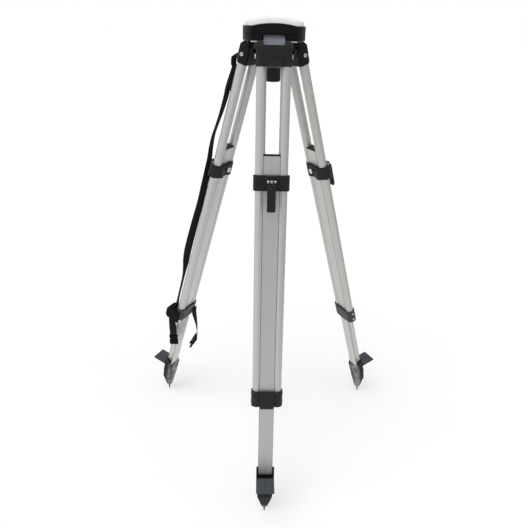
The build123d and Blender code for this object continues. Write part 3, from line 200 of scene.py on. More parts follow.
def moulded_nylon(name, colour, worn, roughness, shine):
    """Black nylon moulding: low gloss, a fine grain, edges rubbed paler."""
    material, tree = new_finish(name)
    place = add_node(tree, "ShaderNodeTexCoord").outputs["Object"]
    patches = add_node(tree, "ShaderNodeTexNoise",
                       {"Vector": place, "Scale": per_metre(NYLON_PATCH), "Detail": 4.0})
    rub_and_sheen, rounded = worn_edges(tree, NYLON_EDGE, patches)
    grain = add_node(tree, "ShaderNodeTexNoise",
                     {"Vector": place, "Scale": per_metre(NYLON_GRAIN), "Detail": 2.0})
    return end_finish(material, two_colours(tree, rub_and_sheen, colour, worn), (patches, *roughness),
                      {"Height": grain, "Distance": NYLON_GRAIN_DEPTH, "Strength": 0.6, "Normal": rounded},
                      IOR=1.53, Specular_IOR_Level=shine)


black_nylon = moulded_nylon("black_nylon", "#141515", "#363738", (0.42, 0.58), 0.24)
# painted shade: a darker copy of the black nylon for the rear hinge blocks
shaded_hinge_nylon = moulded_nylon("shaded_hinge_nylon", "#111112", "#303133", (0.45, 0.6), 0.14)
# painted light: a paler copy of the black nylon for the rear brackets
lit_bracket_nylon = moulded_nylon("lit_bracket_nylon", "#1c1d1d", "#3c3d3e", (0.42, 0.58), 0.5)
buckle_nylon = moulded_nylon("buckle_nylon", "#0f0f10", "#2a2a2c", (0.45, 0.6), 0.05)
print("moulded finishes:", black_nylon.name, shaded_hinge_nylon.name, lit_bracket_nylon.name, buckle_nylon.name)

# %% [markdown]
# The rim and the ring of the head are cast and powder coated. Powder coat flows into a soft orange
# peel, and is thin on the edges. A smooth Voronoi pattern has the rounded bumps of the peel, drawn a
# little coarser so that they show.

# %% Powder coat on castings
COAT_BLACK = "#0e0e0f"
COAT_GLOSS = (0.32, 0.42)
COAT_EDGE = 1.2 * MM
COAT_PATCH = 22 * MM
COAT_PEEL = (2.4 * MM, 0.07 * MM)       # bumps of the peel, across and deep
COAT_SHINE = {"IOR": 1.5, "Specular_IOR_Level": 0.12}


def orange_peel(tree, place, bumps, **lies_on):
    """The relief of a coat that flowed into soft bumps."""
    size, depth = bumps
    peel = add_node(tree, "ShaderNodeTexVoronoi",
                    {"Vector": place, "Scale": per_metre(size)}, feature="SMOOTH_F1")
    return {"Height": peel, "Distance": depth, "Strength": 0.5, **lies_on}


def powder_coat(name, worn):
    """Coated casting: a soft orange peel, and edges where the coat is thin."""
    material, tree = new_finish(name)
    place = add_node(tree, "ShaderNodeTexCoord").outputs["Object"]
    patches = add_node(tree, "ShaderNodeTexNoise",
                       {"Vector": place, "Scale": per_metre(COAT_PATCH), "Detail": 6.0})
    thin, rounded = worn_edges(tree, COAT_EDGE, patches)
    return end_finish(material, two_colours(tree, thin, COAT_BLACK, worn), (patches, *COAT_GLOSS),
                      orange_peel(tree, place, COAT_PEEL, Normal=rounded), **COAT_SHINE)


head_black = powder_coat("head_black", "#303033")
print("coated finish:", head_black.name)

# %% [markdown]
# On the sloping hinge lugs of the ring the coat is painted grey: a painted reflection of the light from
# above, which these sloping faces catch. It could be painted by hand, but these faces lean alike and lie
# under the rim, so their normal and their height are enough to find them. A noise makes the painted
# reflection uneven.

# %% Painted reflection on the hinge lugs
LUG_PATCH = 16 * MM
LUG_SHEEN = (0.25, 0.5)          # height of the patches where the painted grey reflection begins and where it is full
LEAST_SHEEN = 0.6
LUG_LEAN = radians(35)
LUG_PLAY = 0.06                 # how far a face's slope may differ and still be a lug's
LUG_DROP = 1.5 * MM             # how far under the rim the faces of the lugs start
LUG_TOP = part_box("head_rim")[0].z - LUG_DROP


def lug_coat(name, sheen_grey):
    """The ring's coat, with a painted grey reflection on the sloping lug faces that the hinge blocks meet.
    """
    material, tree = new_finish(name)
    own = add_node(tree, "ShaderNodeTexCoord").outputs
    height = add_node(tree, "ShaderNodeSeparateXYZ", {"Vector": own["Object"]}).outputs["Z"]
    slope = add_node(tree, "ShaderNodeSeparateXYZ", {"Vector": own["Normal"]}).outputs["Z"]
    sloping = add_node(tree, "ShaderNodeMath",
                       {0: slope, 1: sin(LUG_LEAN), 2: LUG_PLAY}, operation="COMPARE")
    below = add_node(tree, "ShaderNodeMath", {0: height, 1: LUG_TOP}, operation="LESS_THAN")
    lug_face = add_node(tree, "ShaderNodeMath", {0: sloping, 1: below}, operation="MULTIPLY")
    patches = add_node(tree, "ShaderNodeTexNoise",
                       {"Vector": own["Object"], "Scale": per_metre(LUG_PATCH), "Detail": 5.0})
    sheen_patches = add_node(tree, "ShaderNodeMapRange", {"Value": patches, "From Min": LUG_SHEEN[0],
                                                 "From Max": LUG_SHEEN[1], "To Min": LEAST_SHEEN})
    rub_and_sheen = add_node(tree, "ShaderNodeMath", {0: lug_face, 1: sheen_patches}, operation="MULTIPLY")
    return end_finish(material, two_colours(tree, rub_and_sheen, COAT_BLACK, sheen_grey), (patches, *COAT_GLOSS),
                      orange_peel(tree, own["Object"], COAT_PEEL), **COAT_SHINE)


# 7b7f88 is the painted reflection on the lug faces
lug_sheen_black = lug_coat("lug_sheen_black", "#7b7f88")
print("worn finish:", lug_sheen_black.name)

# %% [markdown]
# Two finishes follow the legs: the coat of the shoes has scuff marks, painted light and painted shade at
# known distances along and out of a leg, and aluminium has streaks along its length. A mapping node turns
# the pattern to stand along the leg. Each leg leans its own way, so each needs materials of its own.


# %% Patterns along a leg
def along_leg(tree, leg):
    """Object coordinates turned to a leg: across it, outwards and down."""
    place = add_node(tree, "ShaderNodeTexCoord").outputs["Object"]
    turn = Matrix((leg.side, leg.face, leg.down)).to_euler()
    return add_node(tree, "ShaderNodeMapping", {"Vector": place, "Rotation": turn})


for name, leg in legs.items():
    print(name, "leg points along", [round(x, 3) for x in leg.down])

# %% [markdown]
# The shoes have a dark grey coat over a rougher casting. The step plate's top is painted paler, which is
# painted light from above. The inner side is paler in patches, partly scuff marks from the ground and
# partly painted light from the floor. The corner behind the plate is painted black, which is painted shade.
# Each of these is a range along or out of the leg, laid over the coat in turn.

# %% Coat of the shoes
SHOE_WALL = 13 * MM             # u of the shoe's outer wall
STEP_PLACES = {"front": 1046 * MM, "left": 1075.6 * MM, "right": 1075.6 * MM}      # s of the plates
SHOE_GREY = "#212126"
THIN_GREY = "#6a6a6f"
# painted light on the step plate's top; scuff marks with painted light on the inner side; painted shade in
# the corner
LIT_PLATE_GREY = "#4b4e53"
SCUFF_AND_LIGHT_GREY = "#9a9a9e"
CORNER_SHADE_BLACK = "#0c0c0e"
SHOE_GLOSS = (0.4, 0.58)
SHOE_PEEL = (3.2 * MM, 0.2 * MM)
LIT_PLATE_RANGE = (4 * MM, 6 * MM)         # out of the wall, where the plate's painted light begins and where it is full
SCUFFED_AND_LIT_SIDE = (2 * MM, 12 * MM)        # inwards of the leg's middle, the same for the scuff marks and painted light
SCUFF_AND_LIGHT_PATCHES = (0.32, 0.6)             # height of the patches, the same again
CORNER_SHADE_ROOM = (1 * MM, 0.5 * MM)        # how far the corner's painted shade goes below the step and into the wall


def shoe_coat(name, leg, step):
    """Coated shoe: painted light on the step plate, scuff marks and painted light inside, painted shade in
    the corner behind the plate.
    """
    material, tree = new_finish(name)
    place = along_leg(tree, leg)
    own = add_node(tree, "ShaderNodeSeparateXYZ", {"Vector": place}).outputs
    middle = leg.pin.dot(leg.face)
    wall = middle + SHOE_WALL
    level = leg.pin.dot(leg.down) + step
    patches = add_node(tree, "ShaderNodeTexNoise",
                       {"Vector": place, "Scale": per_metre(COAT_PATCH), "Detail": 6.0})
    thin, rounded = worn_edges(tree, COAT_EDGE, patches)
    plate = add_node(tree, "ShaderNodeMapRange", {"Value": own["Y"], "From Min": wall + LIT_PLATE_RANGE[0],
                                                  "From Max": wall + LIT_PLATE_RANGE[1]})
    inner = add_node(tree, "ShaderNodeMapRange", {"Value": own["Y"], "From Min": middle - SCUFFED_AND_LIT_SIDE[0],
                                                  "From Max": middle - SCUFFED_AND_LIT_SIDE[1]})
    scuffs_and_light = add_node(tree, "ShaderNodeMapRange", {"Value": patches, "From Min": SCUFF_AND_LIGHT_PATCHES[0],
                                                   "From Max": SCUFF_AND_LIGHT_PATCHES[1], "To Max": inner})
    above = add_node(tree, "ShaderNodeMath", {0: own["Z"], 1: level + CORNER_SHADE_ROOM[0]},
                     operation="LESS_THAN")
    outside = add_node(tree, "ShaderNodeMath", {0: own["Y"], 1: wall - CORNER_SHADE_ROOM[1]},
                       operation="GREATER_THAN")
    front = add_node(tree, "ShaderNodeMath", {0: above, 1: outside}, operation="MULTIPLY")
    corner = add_node(tree, "ShaderNodeMath", {0: front, 1: plate}, operation="SUBTRACT", use_clamp=True)
    base = two_colours(tree, thin, SHOE_GREY, THIN_GREY)
    for share, colour in ((plate, LIT_PLATE_GREY), (scuffs_and_light, SCUFF_AND_LIGHT_GREY), (corner, CORNER_SHADE_BLACK)):
        base = two_colours(tree, share, base, colour)
    return end_finish(material, base, (patches, *SHOE_GLOSS),
                      orange_peel(tree, place, SHOE_PEEL, Normal=rounded), IOR=1.5, Specular_IOR_Level=0.1)


shoe_finish = {name: shoe_coat(f"shoe_grey_{name}", leg, STEP_PLACES[name]) for name, leg in legs.items()}
print("shoe finishes:", len(shoe_finish))

# %% [markdown]
# Tubes and inner bars are extruded aluminium with a satin clear anodising. The die leaves faint streaks
# along the length. A noise that is squeezed across and stretched along gives them. Each leg has greys of
# its own, which are painted light: the rear legs are paler and warmer, as if lit from the bright studio
# behind them. The edges of a bar's flats, where it meets the tubes, are dark lines of painted shade.

# %% Satin anodised aluminium
STREAK_WIDTH = 2.6 * MM
STREAK_LENGTH = 420 * MM
STREAK_DEPTH = 0.02 * MM
STREAK_TONES = (0.3, 0.7)   # height of the streaks where they are dullest and where they are palest
BAR_SEAM = 17.6 * MM        # v where the flat of a bar ends and its hollow round the tube begins
SEAM_BLUR = 0.6 * MM
# painted shade along the edges of a bar's flats, where it meets the tubes
SEAM_SHADE = "#828483"
# per-leg greys are painted light: the rear legs are paler and warmer
TUBE_LIT_COLOURS = {"front": ("#c1c3c3", "#b5b7b7"), "left": ("#c5c5c3", "#b9b9b7"),
                "right": ("#c4c4c0", "#b8b8b4")}
BAR_LIT_COLOURS = {"front": ("#b9bbb9", "#afb1af"), "left": ("#cdcecb", "#c2c3c0"),
               "right": ("#cacbc8", "#bfc0bd")}


def anodised(name, leg, colours, roughness, seam=None):
    """Extruded aluminium: even satin metal with faint long streaks, and painted shade beyond a seam if it
    has one.
    """
    colour, dull = colours
    material, tree = new_finish(name)
    place = along_leg(tree, leg)
    squeeze = (per_metre(STREAK_WIDTH), per_metre(STREAK_WIDTH), per_metre(STREAK_LENGTH))
    squeezed = add_node(tree, "ShaderNodeMapping", {"Vector": place, "Scale": squeeze})
    streaks = add_node(tree, "ShaderNodeTexNoise", {"Vector": squeezed, "Scale": 1.0, "Detail": 3.0})
    tone = add_node(tree, "ShaderNodeMapRange",
                    {"Value": streaks, "From Min": STREAK_TONES[0], "From Max": STREAK_TONES[1]})
    base = two_colours(tree, tone, dull, colour)
    if seam:
        across = add_node(tree, "ShaderNodeSeparateXYZ", {"Vector": place}).outputs["X"]
        distance = add_node(tree, "ShaderNodeMath", {0: across}, operation="ABSOLUTE")
        seam_shade = add_node(tree, "ShaderNodeMapRange",
                         {"Value": distance, "From Min": seam, "From Max": seam + SEAM_BLUR})
        base = two_colours(tree, seam_shade, base, SEAM_SHADE)
    return end_finish(material, base, (streaks, *roughness),
                      {"Height": streaks, "Distance": STREAK_DEPTH, "Strength": 0.4}, Metallic=1.0)


tube_finish = {name: anodised(f"tube_anodised_{name}", leg, TUBE_LIT_COLOURS[name], (0.48, 0.58))
               for name, leg in legs.items()}
bar_finish = {name: anodised(f"bar_anodised_{name}", leg, BAR_LIT_COLOURS[name], (0.5, 0.6), BAR_SEAM)
              for name, leg in legs.items()}
print("anodised finishes:", len(tube_finish) + len(bar_finish))

# %% [markdown]
# The dome is turned on a lathe: the tool leaves rings round the axis on its top. Real ones are a
# tenth of a millimetre apart, so they are drawn coarser here. A wave texture that spreads from the
# axis makes them, and only faces that look up have them.

# %% Turned aluminium
WAVE_TURN = 2 * pi / 20         # a wave texture repeats every 2 pi / 20 of its own units
RING_PITCH = 4 * MM
RING_DEPTH = 0.02 * MM
RING_GLOSS = (0.4, 0.5)
RING_FACES = (0.7, 0.9)         # upward part of a face's normal where rings begin and where they are full


def turned_aluminium(name, colour, dull):
    """Pale satin metal with fine rings about the head's axis on top, left by the lathe."""
    material, tree = new_finish(name)
    own = add_node(tree, "ShaderNodeTexCoord").outputs
    rings = add_node(tree, "ShaderNodeTexWave",
                     {"Vector": own["Object"], "Scale": WAVE_TURN * per_metre(RING_PITCH),
                      "Distortion": 0.3, "Detail": 2.0}, wave_type="RINGS", rings_direction="Z")
    upward = add_node(tree, "ShaderNodeSeparateXYZ", {"Vector": own["Normal"]}).outputs["Z"]
    turned = add_node(tree, "ShaderNodeMapRange", {"Value": upward, "From Min": RING_FACES[0],
                                                   "From Max": RING_FACES[1],
                                                   "To Max": rings.outputs["Fac"]})
    return end_finish(material, two_colours(tree, turned, colour, dull), (turned, *RING_GLOSS),
                      {"Height": turned, "Distance": RING_DEPTH, "Strength": 0.4}, Metallic=0.15)


dome_metal = turned_aluminium("dome_metal", "#fcfcfd", "#f1f1f2")
print("lathe rings repeat at a texture scale of", round(WAVE_TURN * per_metre(RING_PITCH), 1))

# %% [markdown]
# Screws, nuts and pins are steel with bright zinc, which has a slightly cloudy spangle. A Voronoi pattern
# gives the crystals. The fixing screw is duller. The front hinge bolt takes the duller steel too, as
# painted shade, and the spikes are painted dark, as painted shade.

# %% Zinc on steel
SPANGLE = 2.5 * MM
ZINC_PATCH = 6 * MM


def zinc_plate(name, colour, dull, roughness):
    """Plated steel: bright, with a cloudy spangle a few millimetres across."""
    material, tree = new_finish(name)
    place = add_node(tree, "ShaderNodeTexCoord").outputs["Object"]
    spangle = add_node(tree, "ShaderNodeTexVoronoi", {"Vector": place, "Scale": per_metre(SPANGLE)})
    patches = add_node(tree, "ShaderNodeTexNoise",
                       {"Vector": place, "Scale": per_metre(ZINC_PATCH), "Detail": 3.0})
    return end_finish(material, two_colours(tree, spangle, colour, dull), (patches, *roughness),
                      Metallic=1.0)


bright_zinc = zinc_plate("bright_zinc", "#d6d8d8", "#a9acae", (0.22, 0.36))
plain_steel_and_shade = zinc_plate("plain_steel_and_shade", "#b9bab9", "#8d8f90", (0.28, 0.42))
# painted shade: the dark steel of the spikes and of the two screws under the keeper
shade_dark_steel = zinc_plate("shade_dark_steel", "#66676a", "#4a4b4d", (0.4, 0.55))
print("steel finishes:", bright_zinc.name, plain_steel_and_shade.name, shade_dark_steel.name)

# %% [markdown]
# Webbing is woven from thick polyester yarn. Ribs run along the strap, and the weft crosses them. Yarns
# of their own would be thousands of faces, so two waves at right angles draw the pattern. They follow
# the strap through its own UV map, which counts in metres. The real weave is under two millimetres,
# and is drawn coarser so that it shows.

# %% Woven webbing
YARN_PITCHES = {"X": 4.4 * MM, "Y": 3.6 * MM}       # of the warp across the strap, of the weft along it
YARN_HEIGHT = 0.35 * MM
YARN_ROUGHNESS = 0.82
FUZZ = 14 * MM


def woven(name, colour, crest):
    """Black polyester webbing: dull yarn, paler on the crests of the weave."""
    material, tree = new_finish(name)
    strip = add_node(tree, "ShaderNodeUVMap", uv_map="weave")
    warp, weft = (add_node(tree, "ShaderNodeTexWave",
                           {"Vector": strip, "Scale": WAVE_TURN * per_metre(pitch), "Distortion": 0.6,
                            "Detail": 1.0}, bands_direction=direction).outputs["Fac"]
                  for direction, pitch in YARN_PITCHES.items())
    yarn = add_node(tree, "ShaderNodeMath", {0: warp, 1: weft}, operation="MULTIPLY")
    fuzz = add_node(tree, "ShaderNodeTexNoise", {"Vector": strip, "Scale": per_metre(FUZZ), "Detail": 5.0})
    lift = add_node(tree, "ShaderNodeMath", {0: yarn, 1: fuzz}, operation="MULTIPLY")
    return end_finish(material, two_colours(tree, lift, colour, crest), YARN_ROUGHNESS,
                      {"Height": yarn, "Distance": YARN_HEIGHT, "Strength": 0.7}, IOR=1.5,
                      Specular_IOR_Level=0.1)


webbing = woven("black_webbing", "#1e1e1f", "#38383a")
print("cloth finish:", webbing.name)

# %% [markdown]
# Every solid piece now gets its finish. The node's name says what it is, so a short table of name
# starts is enough, and the longest start that fits is taken. The aluminium and the shoes also depend
# on the leg that they belong to.

# %% Dress the solid pieces
STARTS_BY_FINISH = (
    (dome_metal, ["dome_plate"]),
    (head_black, ["head_rim"]),
    (lug_sheen_black, ["lug_ring"]),
    (acetal, ["slide_washer", "thrust_washer"]),
    # the front hinge bolt takes the duller steel as painted shade
    (plain_steel_and_shade, ["guide_bush", "fixing_screw", "hinge_bolt_front"]),
    (bright_zinc, ["retainer_plate", "retainer_screws", "hinge_bolt", "bracket_screws", "clamp_bolt",
                   "lever_pin"]),
    (shade_dark_steel, ["spike"]),
    (black_nylon, ["screw_knob", "hinge_block_front", "lower_bracket_front", "inner_leg_cap",
                   "clamp_outer_jaw", "clamp_inner_jaw", "clamp_lever"]),
    (shaded_hinge_nylon, ["hinge_block"]),
    (lit_bracket_nylon, ["lower_bracket"]),
    (buckle_nylon, ["strap_anchor", "buckle_socket", "buckle_prong"]),
    (webbing, ["carry_strap", "closing_strap"]),
)


def put_finish(piece, material):
    piece.data.materials.clear()
    piece.data.materials.append(material)


finish_by_start = {start: finish for finish, starts in STARTS_BY_FINISH for start in starts}
for name in legs:
    finish_by_start[f"upper_tubes_{name}"] = tube_finish[name]
    finish_by_start[f"inner_leg_{name}"] = bar_finish[name]
    finish_by_start[f"shoe_{name}"] = shoe_finish[name]
for node_name, node in frame["nodes"].items():
    fitting = [start for start in finish_by_start if node_name.startswith(start)]
    put_finish(node, finish_by_start[max(fitting, key=len)])
print("dressed", len(frame["nodes"]), "solid pieces")

# %% [markdown]
# New pieces are plain meshes. Their faces have to point outwards, and each piece rides on a body of the
# frame, takes one of the finishes made above, and may stand for a solid, which is then hidden.
# Straps and turned pieces are rows of points, each row going round a section, so one function makes
# both.


# %% Tools for new pieces
def face_outwards(mesh):
    """Turns the faces of a closed mesh so that all of them point out of it."""
    work = bmesh.new()
    work.from_mesh(mesh)
    bmesh.ops.recalc_face_normals(work, faces=work.faces)
    work.to_mesh(mesh)
    work.free()


def mesh_of_rows(name, corners, count):
    """A closed mesh of corners in rows, where each row goes round a section of this many points."""
    faces = []
    for i in range(len(corners) - count):
        beside = i + 1 if (i + 1) % count else i + 1 - count
        faces.append((i, i + count, beside + count, beside))
    faces += [tuple(range(count)), tuple(range(len(corners) - count, len(corners)))]
    mesh = bpy.data.meshes.new(name)
    mesh.from_pydata(corners, [], faces)
    face_outwards(mesh)
    return mesh


def link_piece(name, data):
    piece = bpy.data.objects.new(name, data)
    bpy.context.collection.objects.link(piece)
    return piece


def fit(piece, body, node=None):
    """Says which body carries a piece and which solid it stands for."""
    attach(piece, body)
    if node:
        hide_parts(node)
    return piece


# %% [markdown]
# A strap is a strip of webbing that follows a path. The path is a list of given points that a smooth curve
# runs through. The strip's section is flat with rounded edges, and its UV map counts metres across and
# along, so that the weave keeps its size round every bend.

# %% Path and section of a strap
STRAP_WIDTH = 22 * MM
CARRY_THICKNESS = 2 * MM
SECTION_STEPS = 4


def smooth_path(points, steps):
    """A curve through all the points, with this many steps between each two."""
    ends = [points[0] * 2 - points[1], *points, points[-1] * 2 - points[-2]]
    path = []
    for i in range(1, len(ends) - 2):
        before, start, end, after = ends[i - 1:i + 3]
        for step in range(steps):
            t = step / steps
            path.append(0.5 * (2 * start + (end - before) * t
                               + (2 * before - 5 * start + 4 * end - after) * t ** 2
                               + (3 * start - 3 * end + after - before) * t ** 3))
    return [*path, points[-1]]


def strip_section(thickness):
    """Points round a strip's section, as distances across and out."""
    edge = thickness / 2
    flat = STRAP_WIDTH / 2 - edge
    section = []
    for sign in (1, -1):
        for step in range(SECTION_STEPS + 1):
            section.append((sign * flat * (2 * step / SECTION_STEPS - 1), sign * edge))
        for step in range(1, SECTION_STEPS):
            turn = pi * step / SECTION_STEPS
            section.append((sign * (flat + edge * sin(turn)), sign * edge * cos(turn)))
    return section


print("a strap's section has", len(strip_section(CARRY_THICKNESS)), "points")

# %% [markdown]
# A strip could be a curve with a flat bevel, but a curve twists by rules of its own. Here each point
# of the path also says how the strip lies across it, so its turns can be set by hand, and places on
# its two faces are known, which the seams need later.


# %% A strip of webbing
class Strip:
    """A strip of webbing: its path, and the directions across and out at each point of it."""

    def __init__(self, path, across, thickness):
        self.path = path
        self.thickness = thickness
        self.along = [0.0]
        for a, b in zip(path, path[1:]):
            self.along.append(self.along[-1] + (b - a).length)
        self.across = []
        self.out = []
        for i, wanted in enumerate(across):
            tangent = (path[min(i + 1, len(path) - 1)] - path[max(i - 1, 0)]).normalized()
            flat = (wanted - tangent * wanted.dot(tangent)).normalized()
            self.across.append(flat)
            self.out.append(tangent.cross(flat))

    def place(self, distance, a, b):
        """A place on the strip, a across and b out of its middle, and the direction out there."""
        i = max(k for k, d in enumerate(self.along[:-1]) if d <= distance)
        share = (distance - self.along[i]) / (self.along[i + 1] - self.along[i])
        middle = self.path[i].lerp(self.path[i + 1], share)
        return middle + self.across[i] * a + self.out[i] * b, self.out[i]

    def piece(self, name, node):
        """The strip as a piece on the left leg that stands for a soft solid."""
        section = strip_section(self.thickness)
        corners = []
        for middle, across, out in zip(self.path, self.across, self.out):
            corners += [middle + across * a + out * b for a, b in section]
        mesh = mesh_of_rows(name, corners, len(section))
        weave = mesh.uv_layers.new(name="weave")
        for loop in mesh.loops:
            row, k = divmod(loop.vertex_index, len(section))
            weave.data[loop.index].uv = (section[k][0], self.along[row])
        mesh.shade_smooth()
        piece = link_piece(name, mesh)
        put_finish(piece, webbing)
        print(name, "is", round(self.along[-1], 3), "m long")
        return fit(piece, "upper_leg_left", node)


print("straps are", STRAP_WIDTH / MM, "mm wide")

# %% [markdown]
# The carry strap is one long piece of webbing. It starts at its sewn end, runs up, goes round the bar of
# the left hinge block's bridge, comes down over itself and hangs slack along the outer tube to the keeper
# on the lower bracket. The slack stands off the tube in two long waves, and turns about its own length on
# the way, so that it looks narrow in the upper wave and broad in the lower one. Its stations are listed one
# by one, and leave room for the clamp, which slides along the tubes under it.

# %% The carry strap
PATH_STEPS = 6
STRAP_SIDE = 26 * MM            # v of the slack part, over the outer tube
SEWN_TOP = 43 * MM
SEWN_END = 90 * MM
SEWN_SHARES = (0.0, 0.3, 0.6, 0.95)
SLACK_FOOT = 20 * MM            # u of the strap's middle where it lies nearest to the tube
NECK_OUT = 31.5 * MM            # u between the two layers at the top of the sewn stretch
SLACK_STATIONS = ((102, 21.2, 0), (140, 23.2, 6), (175, 27.0, 12), (207, 30.6, 12), (240, 29.6, 6),
                  (272, 26.4, 0), (340, 23.2, -20), (400, 22.6, -22), (460, 24.6, -32), (520, 26.2, -40),
                  (565, 26.8, -40), (598, 25.2, -28), (625, 22.2, -8), (652, 20.8, 10), (700, 20.4, 16),
                  (765, 20.4, 16), (796.9, 20, 0))           # s and u in millimetres, turn in degrees
LOOP_POINTS = ((24.0, 39.0), (15.8, 24.0), (15.3, 14.0), (17.0, 7.4), (25.0, 7.1), (33.0, 14.5),
               (39.5, 21.5), (39.6, 27.0), (36.5, 37.5))     # u and s in millimetres


def sewn_point(share, layer):
    """A place on one layer of the sewn stretch, from its top to its end."""
    s = SEWN_TOP + (SEWN_END - SEWN_TOP) * share
    u = NECK_OUT + (SLACK_FOOT + CARRY_THICKNESS / 2 - NECK_OUT) * share
    return left.point(s, u + layer * CARRY_THICKNESS / 2, STRAP_SIDE * share)


def turned_across(turn):
    """The left leg's direction across, turned about the leg."""
    return left.side * cos(turn) - left.face * sin(turn)


carry_points = [sewn_point(share, -1) for share in reversed(SEWN_SHARES)]
carry_points += [left.point(s * MM, u * MM) for u, s in LOOP_POINTS]
carry_points += [sewn_point(share, 1) for share in SEWN_SHARES]
carry_turns = [Vector((0, 0, 0))] * len(carry_points)       # a turn is the X of a vector, to be smoothed
for s, u, turn in SLACK_STATIONS:
    carry_points.append(left.point(s * MM, u * MM, STRAP_SIDE))
    carry_turns.append(Vector((radians(turn), 0, 0)))
carry_across = [turned_across(turn.x) for turn in smooth_path(carry_turns, PATH_STEPS)]
carry = Strip(smooth_path(carry_points, PATH_STEPS), carry_across, CARRY_THICKNESS)
carry_webbing = carry.piece("carry_strap_webbing", "carry_strap")

# %% [markdown]
# Two short straps hang from the left bracket: together they close round the folded legs. One hangs
# straight down from the keeper to the socket of a buckle, and turns to face the front on its way.

# %% The closing strap under the keeper
CLOSING_THICKNESS = 1.8 * MM
CLOSING_TOP = (841.1 * MM, 22 * MM, 35.5 * MM)      # s, u and v where it leaves the keeper
CLOSING_TWIST = radians(40)
CLOSING_STEPS = 16

keeper_end = left.point(*CLOSING_TOP)
socket_top = Vector((keeper_end.x, keeper_end.y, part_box("buckle_socket")[1].z))
closing_path = []
closing_across = []
for step in range(CLOSING_STEPS + 1):
    share = step / CLOSING_STEPS
    turn = CLOSING_TWIST * (1 - share)
    closing_path.append(keeper_end.lerp(socket_top, share))
    closing_across.append(Vector((cos(turn), sin(turn), 0)))
closing = Strip(closing_path, closing_across, CLOSING_THICKNESS)
closing_webbing = closing.piece("closing_strap_webbing", "closing_strap")

# %% [markdown]
# The other one leaves the inner side of the bracket and turns edge on, so it looks like a thin line
# from the front. The leg leans and the strap hangs, so it comes away from the leg in a gentle arc.

# %% The closing strap's tail
TAIL_TOP = (808 * MM, -16 * MM)     # s and u where it leaves the bracket
TAIL_SIDE = -26 * MM
TAIL_TURN = radians(38)
TAIL_HASTE = 2.5                    # how soon it turns
TAIL_STEPS = 20
BRACKET_BOTTOM = 830 * MM
TAIL_DROP = 91 * MM
TAIL_BEND = 20 * MM                 # distance behind the tubes' plane at the bracket's lower edge
TAIL_AWAY = 52 * MM                 # and at the lower end

tail_path = [left.point(*TAIL_TOP, TAIL_SIDE)]
tail_across = [left.side]
for step in range(TAIL_STEPS + 1):
    share = step / TAIL_STEPS
    away = TAIL_BEND + (TAIL_AWAY - TAIL_BEND) * sin(pi * share / 2)
    tail_path.append(left.point(BRACKET_BOTTOM + TAIL_DROP * share, -away, TAIL_SIDE))
    tail_across.append(turned_across(TAIL_TURN * (1 - (1 - share) ** TAIL_HASTE)))
tail = Strip(tail_path, tail_across, CLOSING_THICKNESS)
tail_webbing = tail.piece("closing_tail_webbing", "closing_strap_tail")

# %% [markdown]
# Stitches, screw heads and the thread of the fixing screw are repeats, so Geometry Nodes make them. A
# tree is built once, with named inputs for its sizes. It then runs as a modifier on a mesh that says
# where things go, and the result is kept as a plain mesh. The points of such a mesh carry a direction
# each, under the name of facing.


# %% Tools for geometry trees
def new_tree(name, **inputs):
    """A geometry tree with named inputs of given kinds, and the sockets that bring them in."""
    tree = bpy.data.node_groups.new(name, "GeometryNodeTree")
    for label, kind in inputs.items():
        tree.interface.new_socket(label, in_out="INPUT", socket_type=f"NodeSocket{kind}")
    tree.interface.new_socket("Geometry", in_out="OUTPUT", socket_type="NodeSocketGeometry")
    return tree, add_node(tree, "NodeGroupInput").outputs


def end_tree(tree, shape, material):
    """Every tree ends the same way: real mesh, one material, out."""
    real = add_node(tree, "GeometryNodeRealizeInstances", {"Geometry": shape})
    dressed = add_node(tree, "GeometryNodeSetMaterial", {"Geometry": real, "Material": material})
    add_node(tree, "NodeGroupOutput", {"Geometry": dressed})
    print(tree.name, "tree has", len(tree.nodes), "nodes")
    return tree


def facing_points(name, places, directions, edges=()):
    """A mesh of points that carry a direction each."""
    mesh = bpy.data.meshes.new(name)
    mesh.from_pydata(places, edges, [])
    facing = mesh.attributes.new("facing", "FLOAT_VECTOR", "POINT")
    for i, direction in enumerate(directions):
        facing.data[i].vector = direction
    return mesh


def grow(name, mesh, tree, **values):
    """Runs a geometry tree on a mesh and keeps the result as a plain mesh."""
    piece = link_piece(name, mesh)
    modifier = piece.modifiers.new(tree.name, "NODES")
    modifier.node_group = tree
    for socket in tree.interface.items_tree:
        if socket.in_out == "INPUT" and socket.name in values:
            modifier[socket.identifier] = values[socket.name]
    grown = piece.evaluated_get(bpy.context.evaluated_depsgraph_get())
    piece.data = bpy.data.meshes.new_from_object(grown)
    piece.modifiers.remove(piece.modifiers[0])
    print(name, "has", len(piece.data.polygons), "faces")
    return piece


print("trees made so far:", len(bpy.data.node_groups))

# %% [markdown]
# Webbing is held by stitches: a box with a cross in it where the carry strap is sewn to itself, and
# rows across the straps at the keeper and the buckle. Every stitch is the same short bar of thread.
# The seams are drawn as lines, the lines are divided at the stitch pitch, and a small ellipsoid is set
# on each point, turned along the seam and flat on the webbing.


